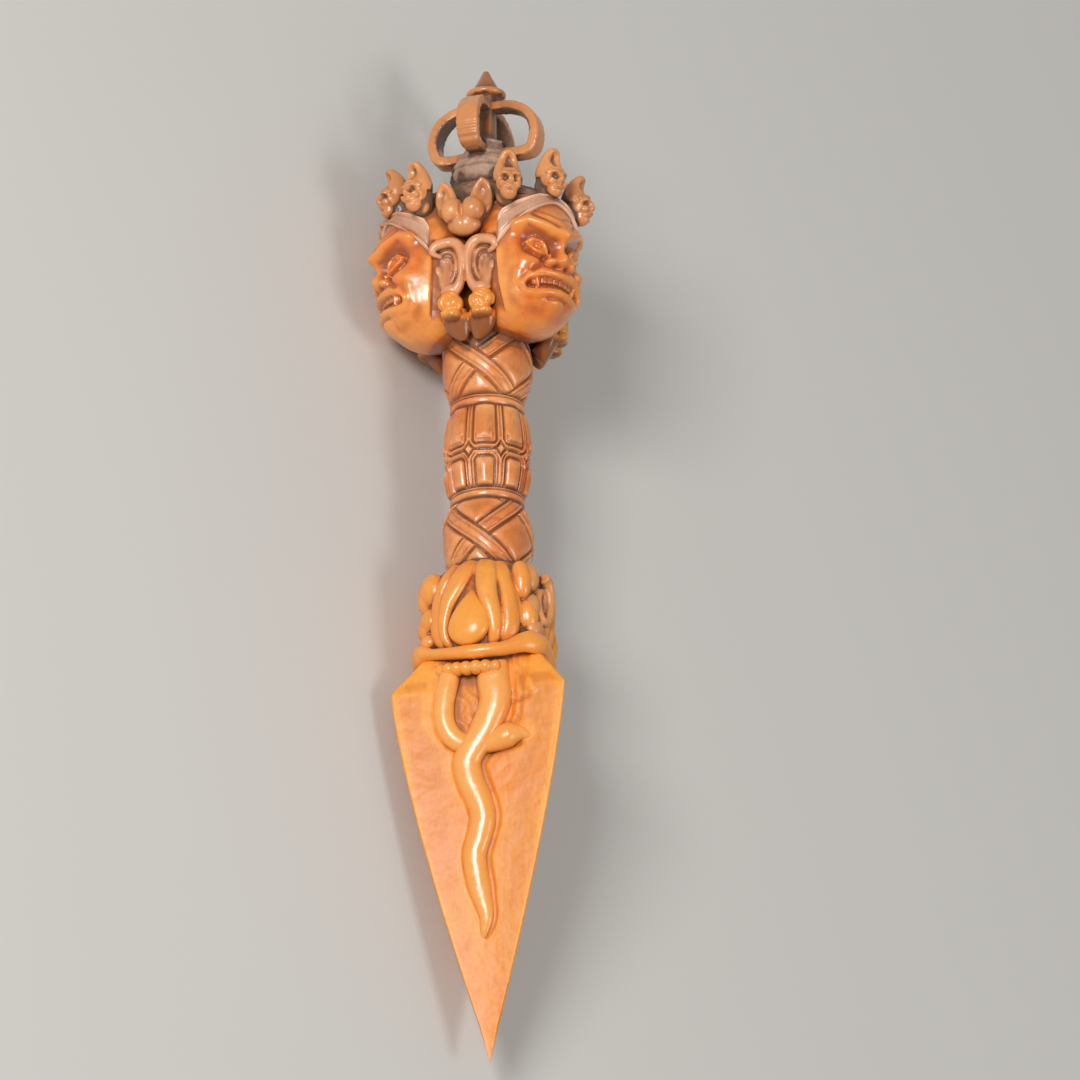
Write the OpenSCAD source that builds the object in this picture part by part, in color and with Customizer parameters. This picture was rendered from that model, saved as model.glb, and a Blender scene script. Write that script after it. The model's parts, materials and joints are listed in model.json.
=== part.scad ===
// A three-sided ritual dagger with three wrathful heads and a half-vajra top.
// The real one is a single block of boxwood, so the nodes are the carver's own
// sections and ornaments, each a closed solid that meets its neighbours.
// Every section is modelled upright on the long axis, with the blade's tip at
// zero height. The finished dagger is then laid on its side, tip towards -Y.
// A bearing of 0 looks at -Y on the upright dagger, and grows towards +X.

/* [Blade] */
// Height of the three shoulders above the tip
blade_len = 92.5; // [80:0.5:96]
// Reach of each cutting edge from the axis, at the shoulders
edge_r = 25.2; // [20:0.1:28]
// Angle by which the blade is turned against the heads above it
blade_twist = 5; // [0:0.5:8]
// Reach of the edges where they run into the collar
shoulder_r = 15.5; // [14:0.1:18]
// Height at which the shoulders end against the collar
shoulder_top = 104; // [100:0.5:108]
// How full the edge's outline is: 1 is straight
edge_fullness = 1.3; // [1:0.05:1.6]
// Hollow in the middle of each flat, at the shoulders
flat_hollow = 0.9; // [0:0.1:2]
// Half width of the rounded cutting edge
edge_half = 0.8; // [0.4:0.1:1.5]

/* [Serpents] */
// Length of the long serpent along the blade
serpent_len = 67.6; // [55:0.1:72]
// Sideways swing of the long serpent's widest bend
serpent_swing = 5.1; // [3:0.1:6]
// How far the serpents lie beside the middle of a flat, to the left
serpent_aside = 1.05; // [0:0.05:2]
// Width of the long serpent's body at its top
serpent_w = 7.6; // [5:0.1:9]
// Width of the long serpent where its tail begins to taper
serpent_tail_w = 4.4; // [3:0.1:6]
// Height of the long serpent's back above the flat
serpent_rise = 3.4; // [2:0.1:4.5]
// Width of the short looped serpent
loop_w = 4.9; // [3:0.1:6]
// Length of blade that the short serpent takes up
loop_len = 21.3; // [18:0.1:24]
// Sideways reach of the short serpent's head
loop_reach = 13.3; // [11:0.1:14]
// Height of the short serpent's back above the flat
loop_rise = 2.2; // [1.5:0.1:3]

/* [Collar] */
// Height of the collar's foot, inside the shoulders
collar_foot = 97; // [95:0.5:99]
// Height of the collar's top, where the lower knot begins
collar_top = 128.5; // [126:0.5:130]
// Radius of the collar's plain neck, at the foot
collar_neck_r = 12.6; // [11:0.1:13.5]
// Radius of the collar's belly, under the leaves
collar_r = 14.6; // [13.5:0.1:16]
// How late the collar draws in to the grip: 1 is a plain cone
collar_fullness = 8; // [3:0.5:12]
// Height of the collar's lip above the tip, over the flats
lip_s = 102.6; // [101.5:0.1:104]
// Rise of the lip where it passes over each shoulder
lip_arch = 4.3; // [2:0.1:5]
// Half thickness of the lip roll
lip_half = 1.7; // [1.2:0.1:2.2]
// Width of each teardrop bud
bud_w = 10; // [7:0.1:12]
// Height of a bud from base to point
bud_h = 15.4; // [12:0.1:18]
// Depth of a bud, of which half lies within the collar
bud_d = 6.4; // [5:0.1:7.5]
// Half thickness of the beaded band under the lip
bead_half = 1.35; // [0.9:0.05:1.7]
// Beads over each flat
bead_count = 8; // [5:1:12]
// Half thickness of the scrolls over the shoulders
scroll_half = 1.5; // [1:0.1:2]

/* [Grip] */
// Radius of both knots at their widest
knot_r = 10.6; // [9:0.1:12]
// Radius of both rings
ring_r = 9.2; // [8:0.1:11]
// Thickness of both rings along the axis
ring_t = 2.5; // [1.5:0.1:4]
// Height of the lower knot
lower_knot_h = 15.5; // [12:0.5:18]
// Height of the lotus drum between the rings
drum_h = 22; // [18:0.5:26]
// Radius of the lotus drum under its petals
drum_r = 10; // [9:0.1:11.5]
// Height of the upper knot
upper_knot_h = 20; // [18:0.5:22]
// Rise of the straps and petals above what carries them
grip_relief = 1; // [0.5:0.1:1.5]
// Width of one strap of a knot
strap_w = 4.6; // [3:0.1:6]
// Petals in each row of the drum
petal_count = 8; // [6:1:12]

/* [Heads] */
// Height of the heads' middle above the upper knot
head_seat = 11; // [9:0.1:13]
// Distance of each head's middle from the axis
head_off = 13.4; // [12:0.1:14.5]
// Half width of a head
head_half_w = 12.9; // [11.5:0.1:14.5]
// Half depth of a head, without its nose
head_half_d = 12.7; // [11:0.1:14]
// Half height of a head, which sets the size of its face
head_half_h = 19.5; // [18:0.1:21]
// Depth of the chin's underside below the head's middle
chin_drop = 17; // [16:0.1:19]
// Height of the crown's foot, where the heads end, above their middle
crown_seat = 17; // [15:0.1:18]
// Rise of the knotted brow over the face
brow_rise = 2; // [1:0.1:3]
// Reach of the nose's tip beyond the face
nose_reach = 2.8; // [1.5:0.1:5]
// Half width of the open mouth
mouth_half = 9.3; // [7:0.1:10.5]
// Depth of the open mouth
mouth_depth = 1.8; // [1:0.1:2.5]
// Half thickness of the band round each forehead
band_half = 1.6; // [1:0.1:2.2]
// Height of an ear
ear_h = 13; // [8:0.1:15]
// Distance of the ears' rims from the axis
ear_r = 18.4; // [17:0.1:20]
// How far the ears' middles lie below the heads' middle
ear_drop = 1.5; // [-1:0.1:4]
// Thickness of the ear's rim
ear_rim = 2.4; // [1.6:0.1:3.2]
// Length of the earrings with their hanging locks
earring_h = 11.5; // [8:0.5:13]

/* [Crown] */
// Height of the crown, which carries the finial
crown_h = 9; // [6:0.1:12]
// Reach of the skulls' middles from the axis
skull_r = 24.4; // [23:0.1:26]
// Width of a skull
skull_w = 6.4; // [5:0.1:8]
// Height of a skull with its pointed cap
skull_h = 15; // [12:0.5:18]
// Angle between the skulls of one head
skull_step = 30; // [26:1:34]
// Width of the heart between two heads
heart_w = 11; // [8:0.1:13]
// Height of the heart between two heads
heart_h = 11.5; // [9:0.1:14]

/* [Finial] */
// Height of the hub, from the crown to the rod
hub_h = 12; // [10:0.5:14]
// Length of the rod between the hub and the cap
rod_len = 12.6; // [9:0.1:16]
// Height of the cap with its point
cap_h = 7.4; // [5:0.1:10]
// Radius of the cap's rim
cap_r = 4.8; // [4:0.1:6]
// Thickness of the cap's rim
cap_rim_t = 1.6; // [1:0.1:2.4]
// Radius of the hub's bulb
hub_r = 8.8; // [7.5:0.1:10]
// Width of the square rod
rod_w = 4.4; // [3:0.1:5.5]
// Reach of the prongs' outer faces from the axis
prong_r = 14.3; // [12:0.1:17]
// Width of a prong
prong_w = 5.5; // [3.5:0.1:6.5]
// Thickness of a prong
prong_t = 2.6; // [1.8:0.1:3.4]

/* [Hidden] */
FOLD = 3;
TURN = 360 / FOLD;
FLAT_AT = -17;
HEAD_AT = FLAT_AT + TURN / 2;
EAR_AT = 15;
PRONG_AT = -20;
LEAF_STEPS = 5;
// Face units round the front of a head per degree
FACE_ARC = 0.225;
PRONGS = 4;
$fn = 24;

lower_ring_s = collar_top + lower_knot_h;
drum_s = lower_ring_s + ring_t;
upper_ring_s = drum_s + drum_h;
upper_knot_s = upper_ring_s + ring_t;
head_s = upper_knot_s + upper_knot_h + head_seat;
crown_s = head_s + crown_seat;
ear_s = head_s - ear_drop;
face_unit = head_half_h / 19.5;
crown_top = crown_s + crown_h;
hub_top = crown_top + hub_h;
cap_s = hub_top + rod_len;
total_len = cap_s + cap_h;
grip_end_r = ring_r - 0.8;
serpent_root = collar_foot + 1.1;
bud_s = lip_s + lip_half + bud_w * 0.36;
bud_seat_r = collar_r - 0.4;
function skull_foot(step) = crown_s - 1 - 3 * abs(step);

function numbered(name) = [for (k = [1:FOLD]) str(name, k)];

function mix(a, b, t) = a + (b - a) * t;
function unit(v) = v / norm(v);
function polar(r, a, s) = [r * sin(a), -r * cos(a), s];
function flat_bearing(k) = FLAT_AT + (k - 1) * TURN;
function blade_bearing(k) = flat_bearing(k) + blade_twist;
function head_bearing(k) = HEAD_AT + (k - 1) * TURN;
function heads_beside(k) = [k, (k + 1) % FOLD + 1];
function hump(x, middle, spread) = exp(-pow((x - middle) / spread, 2));

// Closed solid through a list of rings, each seen anticlockwise from the next one's side
module skin(rings) {
    n = len(rings[0]);
    last = (len(rings) - 1) * n;
    sides = [for (i = [0:len(rings) - 2], j = [0:n - 1])
        let (a = i * n + j, b = i * n + (j + 1) % n)
        each [[a, a + n, b + n], [a, b + n, b]]];
    ends = [[for (j = [0:n - 1]) j], [for (j = [n - 1:-1:0]) last + j]];
    polyhedron([for (ring = rings) each ring], concat(sides, ends), convexity = 6);
}

// Bent bar along a path; up is the direction of its height at each point
module bar(path, up, half_w, half_h, sides = 8, closed = false) {
    last = len(path) - 1;
    rings = [for (i = [0:last])
        let (
            before = path[closed ? (i + last) % (last + 1) : max(i - 1, 0)],
            after = path[closed ? (i + 1) % (last + 1) : min(i + 1, last)],
            ahead = unit(after - before),
            across = unit(cross(up[i], ahead)),
            rise = cross(ahead, across)
        )
        [for (j = [0:sides - 1])
            let (t = 360 * (j + 0.5) / sides)
            path[i] + across * half_w[i] * cos(t) + rise * half_h[i] * sin(t)]];
    if (closed) loop(rings); else skin(rings);
}

// Closed solid through rings that run round to the first one again
module loop(rings) {
    n = len(rings[0]);
    m = len(rings);
    polyhedron([for (ring = rings) each ring], [for (i = [0:m - 1], j = [0:n - 1])
        let (a = i * n + j, b = i * n + (j + 1) % n, c = ((i + 1) % m) * n)
        each [[a, c + j, c + (j + 1) % n], [a, c + (j + 1) % n, b]]], convexity = 8);
}

// The first shape cut away where it would enter the others, as one closed mesh
module seated() {
    resize([0, 0, 0]) difference() {
        children(0);
        children([1:$children - 1]);
    }
}

// Rounded lump on a given bearing, leaning outwards by an angle
module lump(r, a, s, size, lean = 0, sides = 12) {
    rotate([0, 0, a]) translate([0, -r, s]) rotate([lean, 0, 0])
        scale(size / 2) sphere(r = 1, $fn = sides);
}

// Round section turned about the axis from one height to another
module turned(s0, s1, radii) {
    steps = len(radii) - 1;
    rotate_extrude()
        polygon(concat([[0, s1], [0, s0]], [for (i = [0:steps]) [radii[i], mix(s0, s1, i / steps)]]));
}

// Blade: outline of the edges, and depth of a flat at a height and a place across it
function edge_reach(s) = s <= blade_len
    ? edge_r * (1 - pow(1 - s / blade_len, edge_fullness))
    : mix(edge_r, shoulder_r, (s - blade_len) / (shoulder_top - blade_len));
function hollow(s) = s <= blade_len
    ? flat_hollow * edge_reach(s) / edge_r
    : mix(flat_hollow, shoulder_r / 2 - collar_neck_r + 0.8, (s - blade_len) / (shoulder_top - blade_len));
function half_flat(s) = edge_reach(s) * sin(60);
function flat_depth(s, u) = edge_reach(s) / 2 - hollow(s) * (1 - pow(u / half_flat(s), 2));
function on_flat(k, u, depth, s) =
    polar(depth, blade_bearing(k), s) + u * [cos(blade_bearing(k)), sin(blade_bearing(k)), 0];

function blade_ring(s) =
    let (half = half_flat(s), round_half = min(edge_half, half * 0.3))
    [for (k = [1:FOLD]) each concat(
        [polar(edge_reach(s) - round_half * 0.7, blade_bearing(k) - TURN / 2, s)],
        [for (u = [-half + round_half, -half * 0.5, 0, half * 0.5, half - round_half])
            on_flat(k, u, flat_depth(s, u), s)]
    )];

module blade_body() {
    steps = 12;
    shoulder_steps = 2;
    skin(concat(
        [for (i = [0:steps]) blade_ring(mix(0.15, blade_len, pow(i / steps, 1.3)))],
        [for (i = [1:shoulder_steps]) blade_ring(mix(blade_len, shoulder_top, i / shoulder_steps))]
    ));
}

module blade() {
    color("#f0a058") seated() {
        blade_body();
        collar_body();
    }
}

// Routes of both serpents, from the collar down, as shares of their reach and length
LONG_BENDS = [[0.83, 0], [1, 0.14], [-0.46, 0.36], [0.31, 0.55], [-0.21, 0.69], [0.31, 0.92], [0.12, 1]];
SHORT_BENDS = [[-0.4, 0], [-0.5, 0.29], [-0.56, 0.55], [-0.5, 0.73], [-0.29, 0.88], [0.04, 0.96],
    [0.37, 0.98], [0.66, 0.96], [0.88, 0.97], [1, 1]];
function route(bends, reach, length) =
    [for (b = bends) [b[0] * reach - serpent_aside, serpent_root - b[1] * length]];

// Long serpent: its bends are eased into one another, and both ends sink into the wood
function eased(t) = (1 - cos(180 * t)) / 2;
function bend_point(bends, t) =
    let (i = min(floor(t), len(bends) - 2), f = t - i)
    [mix(bends[i][0], bends[i + 1][0], eased(f)), mix(bends[i][1], bends[i + 1][1], f)];

module serpent_body(k, line, half_w, rise, sink) {
    path = [for (i = [0:len(line) - 1])
        on_flat(k, line[i][0], flat_depth(line[i][1], line[i][0]) - sink[i], line[i][1])];
    out = polar(1, blade_bearing(k), 0);
    bar(path, [for (p = path) out], half_w, rise);
}

module long_serpent_body(k) {
    steps = 21;
    spans = len(LONG_BENDS) - 1;
    bends = route(LONG_BENDS, serpent_swing, serpent_len);
    path = [for (i = [0:steps]) bend_point(bends, spans * i / steps)];
    taper = [for (i = [0:steps]) i == 0 ? 0.3 : min(1, 0.25 + 5 * (1 - i / steps))];
    rise = [for (i = [0:steps]) mix(serpent_rise, serpent_rise * 0.6, i / steps)];
    serpent_body(k, path,
        [for (i = [0:steps]) mix(serpent_w, serpent_tail_w, i / steps) / 2 * taper[i]],
        [for (i = [0:steps]) rise[i] * taper[i]],
        [for (i = [0:steps]) rise[i] * (1 - taper[i]) / 2]);
}

module long_serpent(k) {
    color("#f5a030") seated() {
        long_serpent_body(k);
        blade_body();
        collar_body();
    }
}

// Short serpent: one loop that passes under the long one and ends in its head
module short_serpent(k) {
    last = len(SHORT_BENDS) - 1;
    girth = [for (i = [0:last]) i == last ? 0.45 : i == last - 1 ? 1 : i == last - 2 ? 1.15 : 1];
    color("#f0922e") seated() {
        serpent_body(k, route(SHORT_BENDS, loop_reach, loop_len), girth * loop_w / 2, girth * loop_rise,
            [for (g = girth) 0]);
        blade_body();
        long_serpent_body(k);
        collar_body();
    }
}

// Collar: a plain neck between the shoulders, then a belly that narrows to the knot
function collar_reach(t) = mix(collar_neck_r, grip_end_r, pow(t, collar_fullness))
    + (collar_r - collar_neck_r) * sqrt(sin(180 * min(1, t * 1.05)));

module collar_body() {
    steps = 10;
    belly_s = lip_s + lip_half / 2;
    union() {
        turned(collar_foot, belly_s, [collar_neck_r, collar_neck_r]);
        turned(belly_s, collar_top, [for (i = [0:steps]) collar_reach(i / steps)]);
    }
}

module collar() {
    color("#9a6a48") collar_body();
}

// Lip: one roll that waves round the collar and arches over each shoulder
function lip_point(a) =
    let (over = pow((1 + cos(FOLD * (a - HEAD_AT - blade_twist))) / 2, 3))
    polar(mix(collar_r, shoulder_r + 0.6, over), a, lip_s + lip_arch * over);

module lip_body() {
    rings = 42;
    bar([for (i = [0:rings - 1]) lip_point(360 * i / rings)],
        [for (i = [0:rings - 1]) [0, 0, 1]],
        [for (i = [0:rings - 1]) lip_half * 1.15], [for (i = [0:rings - 1]) lip_half], closed = true);
}

module lip_roll() {
    color("#e8852e") seated() {
        lip_body();
        collar_body();
        blade_body();
    }
}

// Beaded band: a ridge across each flat, under the lip, that swells at each bead
module bead_band(k) {
    spread = 88;
    steps = 3 * bead_count;
    bearings = [for (i = [0:steps]) flat_bearing(k) + mix(-spread / 2, spread / 2, i / steps)];
    swell = [for (i = [0:steps]) 0.78 + 0.22 * sin(180 * i / 3) * sin(180 * i / 3)];
    color("#b8703a") seated() {
        bar([for (a = bearings) polar(collar_neck_r + 0.5, a, lip_s - lip_half - bead_half * 0.8)],
            [for (a = bearings) [0, 0, 1]],
            swell * bead_half * 1.2, swell * bead_half, sides = 6);
        collar_body();
        blade_body();
        lip_body();
    }
}

// Bud: a pointed drop that stands on the lip in the middle of each flat
module bud_body(k) {
    a = flat_bearing(k);
    hull() {
        lump(bud_seat_r, a, bud_s, [bud_w, bud_d, bud_w * 0.9]);
        lump(bud_seat_r - 0.5, a, bud_s + bud_h * 0.34, [bud_w * 0.72, bud_d * 0.88, bud_w * 0.7]);
        lump(bud_seat_r - 1, a, lip_s + bud_h, [1, 2, 1.6]);
    }
}

module bud(k) {
    color("#f5a533") seated() {
        bud_body(k);
        collar_body();
        lip_body();
    }
}

// Leaves: four tapering ribs round each bud, and a rounded lobe at either side
function leaf_path(k, side, layer) =
    let (top = collar_top - 4 + layer, foot = lip_s + lip_half + 0.5)
    [for (i = [0:LEAF_STEPS])
        let (t = i / LEAF_STEPS, reach = mix(4 + 7 * layer, 19 + 11 * layer, sin(90 * t)))
        polar(mix(collar_reach(0.9) + 1, collar_r + 0.5, sin(min(90, 150 * t))),
            flat_bearing(k) + side * reach, mix(top, foot, t))];

module leaf(k, side, layer) {
    path = leaf_path(k, side, layer);
    bar(path, [for (p = path) unit([p[0], p[1], 0])],
        [for (i = [0:LEAF_STEPS]) 0.5 + 1.4 * sin(180 * min(0.8, 0.15 + i / LEAF_STEPS))],
        [for (i = [0:LEAF_STEPS]) 0.6 + 1.2 * sin(180 * min(0.75, 0.1 + i / LEAF_STEPS))], sides = 6);
}

module leaves_body(k) {
    for (side = [-1, 1]) {
        for (layer = [0, 1]) leaf(k, side, layer);
        lump(collar_r + 0.3, flat_bearing(k) + side * 38, lip_s + 14.5, [4.6, 4.4, 8.6], sides = 8);
    }
}

module leaves(k) {
    color("#e58a34") seated() {
        leaves_body(k);
        collar_body();
        lip_body();
        bud_body(k);
    }
}

// Scroll: an oblong curl over each shoulder, round a small boss
module scroll(k) {
    rings = 14;
    a = head_bearing(k);
    middle = (lip_s + lip_arch + lip_half + collar_top - 2) / 2 + 1;
    half_up = 6.6;
    half_turn = 15;
    path = [for (i = [0:rings - 1])
        let (t = 360 * i / rings)
        polar(collar_r + 0.7 - 1.8 * max(0, sin(t)), a + half_turn * cos(t), middle + half_up * sin(t))];
    color("#d98238") seated() {
        union() {
            bar(path, [for (p = path) unit([p[0], p[1], 0])],
                [for (p = path) scroll_half], [for (p = path) scroll_half * 1.2], sides = 6, closed = true);
            lump(collar_r, a, middle - 1, [4, 3.4, 7], sides = 8);
        }
        collar_body();
        lip_body();
        for (j = [1:FOLD]) leaves_body(j);
    }
}

// Knots and drum: turned cores with raised straps and petals
function bulge(r, t) = mix(grip_end_r, r, pow(sin(180 * t), 0.7));

module swelling(s, h, r) {
    steps = 6;
    turned(s, s + h, [for (i = [0:steps]) bulge(r, i / steps)]);
}

module straps(s, h, middle_share) {
    half = h * 0.44;
    middle = s + h * middle_share;
    lean = 4.6;
    for (k = [1:FOLD], way = [-1, 1]) {
        path = [for (i = [-2:2])
            let (rise = half * i / 2)
            polar(bulge(knot_r, (middle + rise - s) / h), flat_bearing(k) + way * rise * lean, middle + rise)];
        bar(path, [for (p = path) unit([p[0], p[1], 0])],
            [for (p = path) strap_w / 2], [for (p = path) grip_relief], sides = 6);
    }
}

module knot(s, h) {
    color("#e07a30") swelling(s, h, knot_r);
}

module knot_straps(s, h) {
    color("#c06a30") seated() {
        straps(s, h, 0.5);
        swelling(s, h, knot_r);
        for (k = [1:FOLD]) head_body(k);
    }
}

module ring(s) {
    color("#d97a30") rotate_extrude() {
        translate([0, s]) square([ring_r - ring_t / 2, ring_t]);
        translate([ring_r - ring_t / 2, s + ring_t / 2]) circle(d = ring_t);
    }
}

module lotus_drum() {
    color("#c87038") swelling(drum_s, drum_h, drum_r);
}

module drum_petals() {
    row_h = drum_h * 0.43;
    across = 360 / petal_count;
    wide = 2 * drum_r * sin(across / 2) * 0.94;
    color("#e88a3c") seated() {
        for (row = [0, 1], i = [0:petal_count - 1])
            lump(drum_r - 0.5, FLAT_AT + 10 + across * i,
                drum_s + (row == 0 ? 0.6 + row_h / 2 : drum_h - 0.6 - row_h / 2),
                [wide, 2 * grip_relief + 1.6, row_h], lean = row == 0 ? 6 : -6, sides = 8);
        swelling(drum_s, drum_h, drum_r);
    }
}

// Head: an upright egg about its own middle. Its face is raised on the unrolled front,
// in face units of one millimetre: x grows from the nose outwards, and z upwards.
function girth_at(z) = z > 0
    ? pow(1 - pow(z / head_half_h, 3.4), 1 / 3.4)
    : pow(1 - pow(-z / chin_drop, 2.5), 1 / 2.5);
function mound(p, at, half, height, lean = 0) =
    let (d = p - at, x = d[0] * cos(lean) + d[1] * sin(lean), z = d[1] * cos(lean) - d[0] * sin(lean))
    height * exp(-pow(x / half[0], 2) - pow(z / half[1], 2));
function to_segment(p, a, b) = norm(p - a - max(0, min(1, (p - a) * (b - a) / ((b - a) * (b - a)))) * (b - a));
function ridge(p, line, height, half) =
    height * exp(-pow(min([for (i = [0:len(line) - 2]) to_segment(p, line[i], line[i + 1])]) / half, 2));

function mouth_middle(x) = -7.15 - 0.012 * x * x;
function in_mouth(p) =
    let (tall = 1.35 + 0.055 * p[0])
    max(0, min(1, 3 * (1 - pow(p[0] / mouth_half, 4) - pow((p[1] - mouth_middle(p[0])) / tall, 2))));
function brow(p) = ridge(p, [[0, 5.3], [2.6, 5.6], [5.2, 7], [8.6, 8.5], [11.5, 7.6]], brow_rise * 0.75, 1.7)
    + mound(p, [0, 7.6], [6.5, 3.4], brow_rise);
function eye(p) = mound(p, [6.2, 2.2], [4.6, 3.2], -2.2, 20)
    + mound(p, [6.2, 1.9], [2.9, 1.8], 2.8, 29)
    + mound(p, [2.7, 1.4], [1.6, 2], -0.7);
function nose(p) = nose_reach * (mound(p, [0, -1.2], [2.2, 1.9], 0.75) + ridge(p, [[0, 4], [0, 0.4]], 0.4, 1.6)
    + mound(p, [3.1, -1.7], [1.5, 1.4], 0.6));
function cheek(p) = mound(p, [8.8, -2.3], [3.6, 2.7], 1.3)
    + ridge(p, [[4.8, -0.8], [5.6, -2.8], [7.4, -4.7]], -0.6, 0.8);
function lips(p) = mound(p, [0, -8.5], [11, 4.6], 0.9)
    + ridge(p, [[0, -5], [2.8, -4.8], [5.4, -4.7], [8, -5.6], [10, -7.8]], 0.8, 0.9)
    + ridge(p, [[0, -9.6], [3.4, -9.9], [6.6, -10.5], [9.2, -10.1], [10, -8.8]], 0.6, 0.9)
    - mouth_depth * in_mouth(p);
function chin(p) = mound(p, [0, -12.6], [3.8, 2.6], 1.2) + ridge(p, [[11, -5], [12, -9.5], [9.6, -12]], 0.5, 1.6);
function features(turn, z) =
    let (p = [abs(turn) * FACE_ARC, z / face_unit])
    abs(turn) > 95 ? 0 : face_unit * (brow(p) + eye(p) + nose(p) + cheek(p) + lips(p) + chin(p));
function head_point(turn, z) =
    let (g = girth_at(z), f = features(turn, z))
    [(head_half_w * g + f) * sin(turn), -(head_half_d * g + f) * cos(turn), z];

module head_ball() {
    half_turns = [5, 10.5, 17, 24, 31, 38, 46, 56, 68, 84, 105, 140];
    last = len(half_turns) - 1;
    turns = concat([-180], [for (i = [last:-1:0]) -half_turns[i]], [0], half_turns);
    mouth_foot = -10.5;
    under = [for (share = [0.994, 0.87, 0.68, 0.45, 0.23]) mix(mouth_foot * face_unit, -chin_drop, share)];
    face = [mouth_foot, -9.2, -7.4, -5.9, -4.8, -3.3, -1.8, -0.6, 0.8, 2.2, 3.6, 5, 6.8, 9, 12, 15, 17.2, 19.4];
    heights = concat(under, [for (h = face) h * face_unit]);
    skin([for (h = heights) [for (turn = turns) head_point(turn, h)]]);
}

module head_body(k) {
    far = 90;
    rotate([0, 0, head_bearing(k)]) intersection() {
        translate([0, -head_off, head_s]) head_ball();
        translate([0, 0, head_s - chin_drop]) linear_extrude(crown_s - head_s + chin_drop)
            polygon([[0, 0], [-far * sin(60), -far * cos(60)], [far * sin(60), -far * cos(60)]]);
    }
}

module head(k) {
    color("#e8842f") seated() {
        head_body(k);
        swelling(upper_knot_s, upper_knot_h, knot_r);
    }
}

// Band: an arch over the brow from ear to ear
function band_height(turn) = crown_s - head_s - band_half * 1.4 - 9 * pow(turn / 75, 2);

module headband_body(k) {
    steps = 12;
    turns = [for (i = [0:steps]) mix(-78, 78, i / steps)];
    path = [for (t = turns) head_point(t, band_height(t))];
    rotate([0, 0, head_bearing(k)]) translate([0, -head_off, head_s])
        bar(path, [for (p = path) [0, 0, 1]], [for (p = path) band_half * 1.2],
            [for (p = path) band_half * 1.3], sides = 6);
}

module headband(k) {
    far = 90;
    color("#d87c34") resize([0, 0, 0]) difference() {
        intersection() {
            headband_body(k);
            rotate([0, 0, head_bearing(k)]) translate([0, 0, head_s]) linear_extrude(crown_s - head_s)
                polygon([[0, 0], [-far * sin(60), -far * cos(60)], [far * sin(60), -far * cos(60)]]);
        }
        head_body(k);
    }
}

// Ears: a curled rim and a lobe at either side of the valley between two heads
module ears_body(k) {
    steps = 7;
    for (side = [-1, 1]) {
        a = flat_bearing(k) + side * EAR_AT;
        path = [for (i = [0:steps])
            let (t = mix(-110, 160, i / steps))
            polar(ear_r + 0.6 * cos(t), a + side * 7 * cos(t), ear_s + ear_h * 0.4 * sin(t))];
        bar(path, [for (p = path) unit([p[0], p[1], 0])],
            [for (p = path) ear_rim / 2], [for (p = path) ear_rim * 0.75], sides = 6);
        lump(ear_r, a - side * 2, ear_s - ear_h * 0.42, [4, 3.6, 4.6], sides = 6);
    }
}

module ears(k) {
    color("#e08a3c") seated() {
        ears_body(k);
        for (j = heads_beside(k)) head_body(j);
    }
}

// Earrings: a knob under each ear with a tapering lock below it
module earrings(k) {
    color("#c8742f") seated() {
        for (side = [-1, 1]) {
            a = flat_bearing(k) + side * 11;
            top = ear_s - ear_h / 2 - 2.4;
            hull() {
                lump(ear_r - 1, a, top, [4.6, 5, 4.6], sides = 10);
                lump(ear_r - 2.4, a, top - earring_h + 3, [1.4, 3, 1.6], sides = 8);
            }
        }
        for (j = heads_beside(k)) head_body(j);
        ears_body(k);
    }
}

// Crown: the joined crowns of the three heads, drawn in to the finial's foot
function crown_reach(a, t) =
    let (
        off = head_off * 0.9 * (1 - t),
        r = mix(head_half_w * 0.84, hub_r * 0.9, t),
        from_head = abs(((a - HEAD_AT) % TURN + TURN * 1.5) % TURN - TURN / 2)
    )
    off * cos(from_head) + sqrt(r * r - pow(off * sin(from_head), 2));

module crown_body() {
    steps = 4;
    columns = 30;
    skin([for (i = [0:steps])
        let (t = i / steps)
        [for (j = [0:columns - 1])
            polar(crown_reach(360 * j / columns, t), 360 * j / columns, mix(crown_s, crown_top, pow(t, 0.8)))]]);
}

module crown() {
    color("#8a6048") crown_body();
}

// Skulls: three on each band, the middle one higher, each with a pointed cap
module skulls(k) {
    color("#e0964a") seated() {
        for (i = [-1:1]) {
            a = head_bearing(k) + i * skull_step;
            foot = skull_foot(i);
            hull() {
                lump(skull_r - 2.4, a, foot, [skull_w * 0.66, 6, 3], sides = 6);
                lump(skull_r, a, foot + skull_h * 0.36, [skull_w, skull_w, skull_h * 0.5], sides = 8);
            }
            hull() {
                lump(skull_r - 0.2, a, foot + skull_h * 0.5, [skull_w * 0.8, skull_w * 0.8, skull_h * 0.3], sides = 6);
                lump(skull_r + 1.2, a, foot + skull_h * 0.92, [1, 1, 1.4], sides = 4);
            }
        }
        headband_body(k);
        head_body(k);
        crown_body();
    }
}

// Heart: two balls with pointed tips, wedged between the bands of two heads
module heart(k) {
    color("#e08a40") seated() {
        for (side = [-1, 1]) {
            a = flat_bearing(k) + side * 7;
            low = crown_s - heart_h * 0.45;
            hull() {
                lump(14, a, low, [3, 3, 3], sides = 6);
                lump(20.6, a, low, [heart_w * 0.5, heart_w * 0.52, heart_w * 0.55], sides = 9);
            }
            hull() {
                lump(20, a + side, low + 0.4, [heart_w * 0.38, heart_w * 0.4, heart_w * 0.4], sides = 7);
                lump(20.6, a + side * 5, low + heart_h * 0.6, [1.2, 1.2, 1.2], sides = 5);
            }
        }
        for (j = heads_beside(k)) {
            head_body(j);
            headband_body(j);
        }
        crown_body();
    }
}

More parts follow.
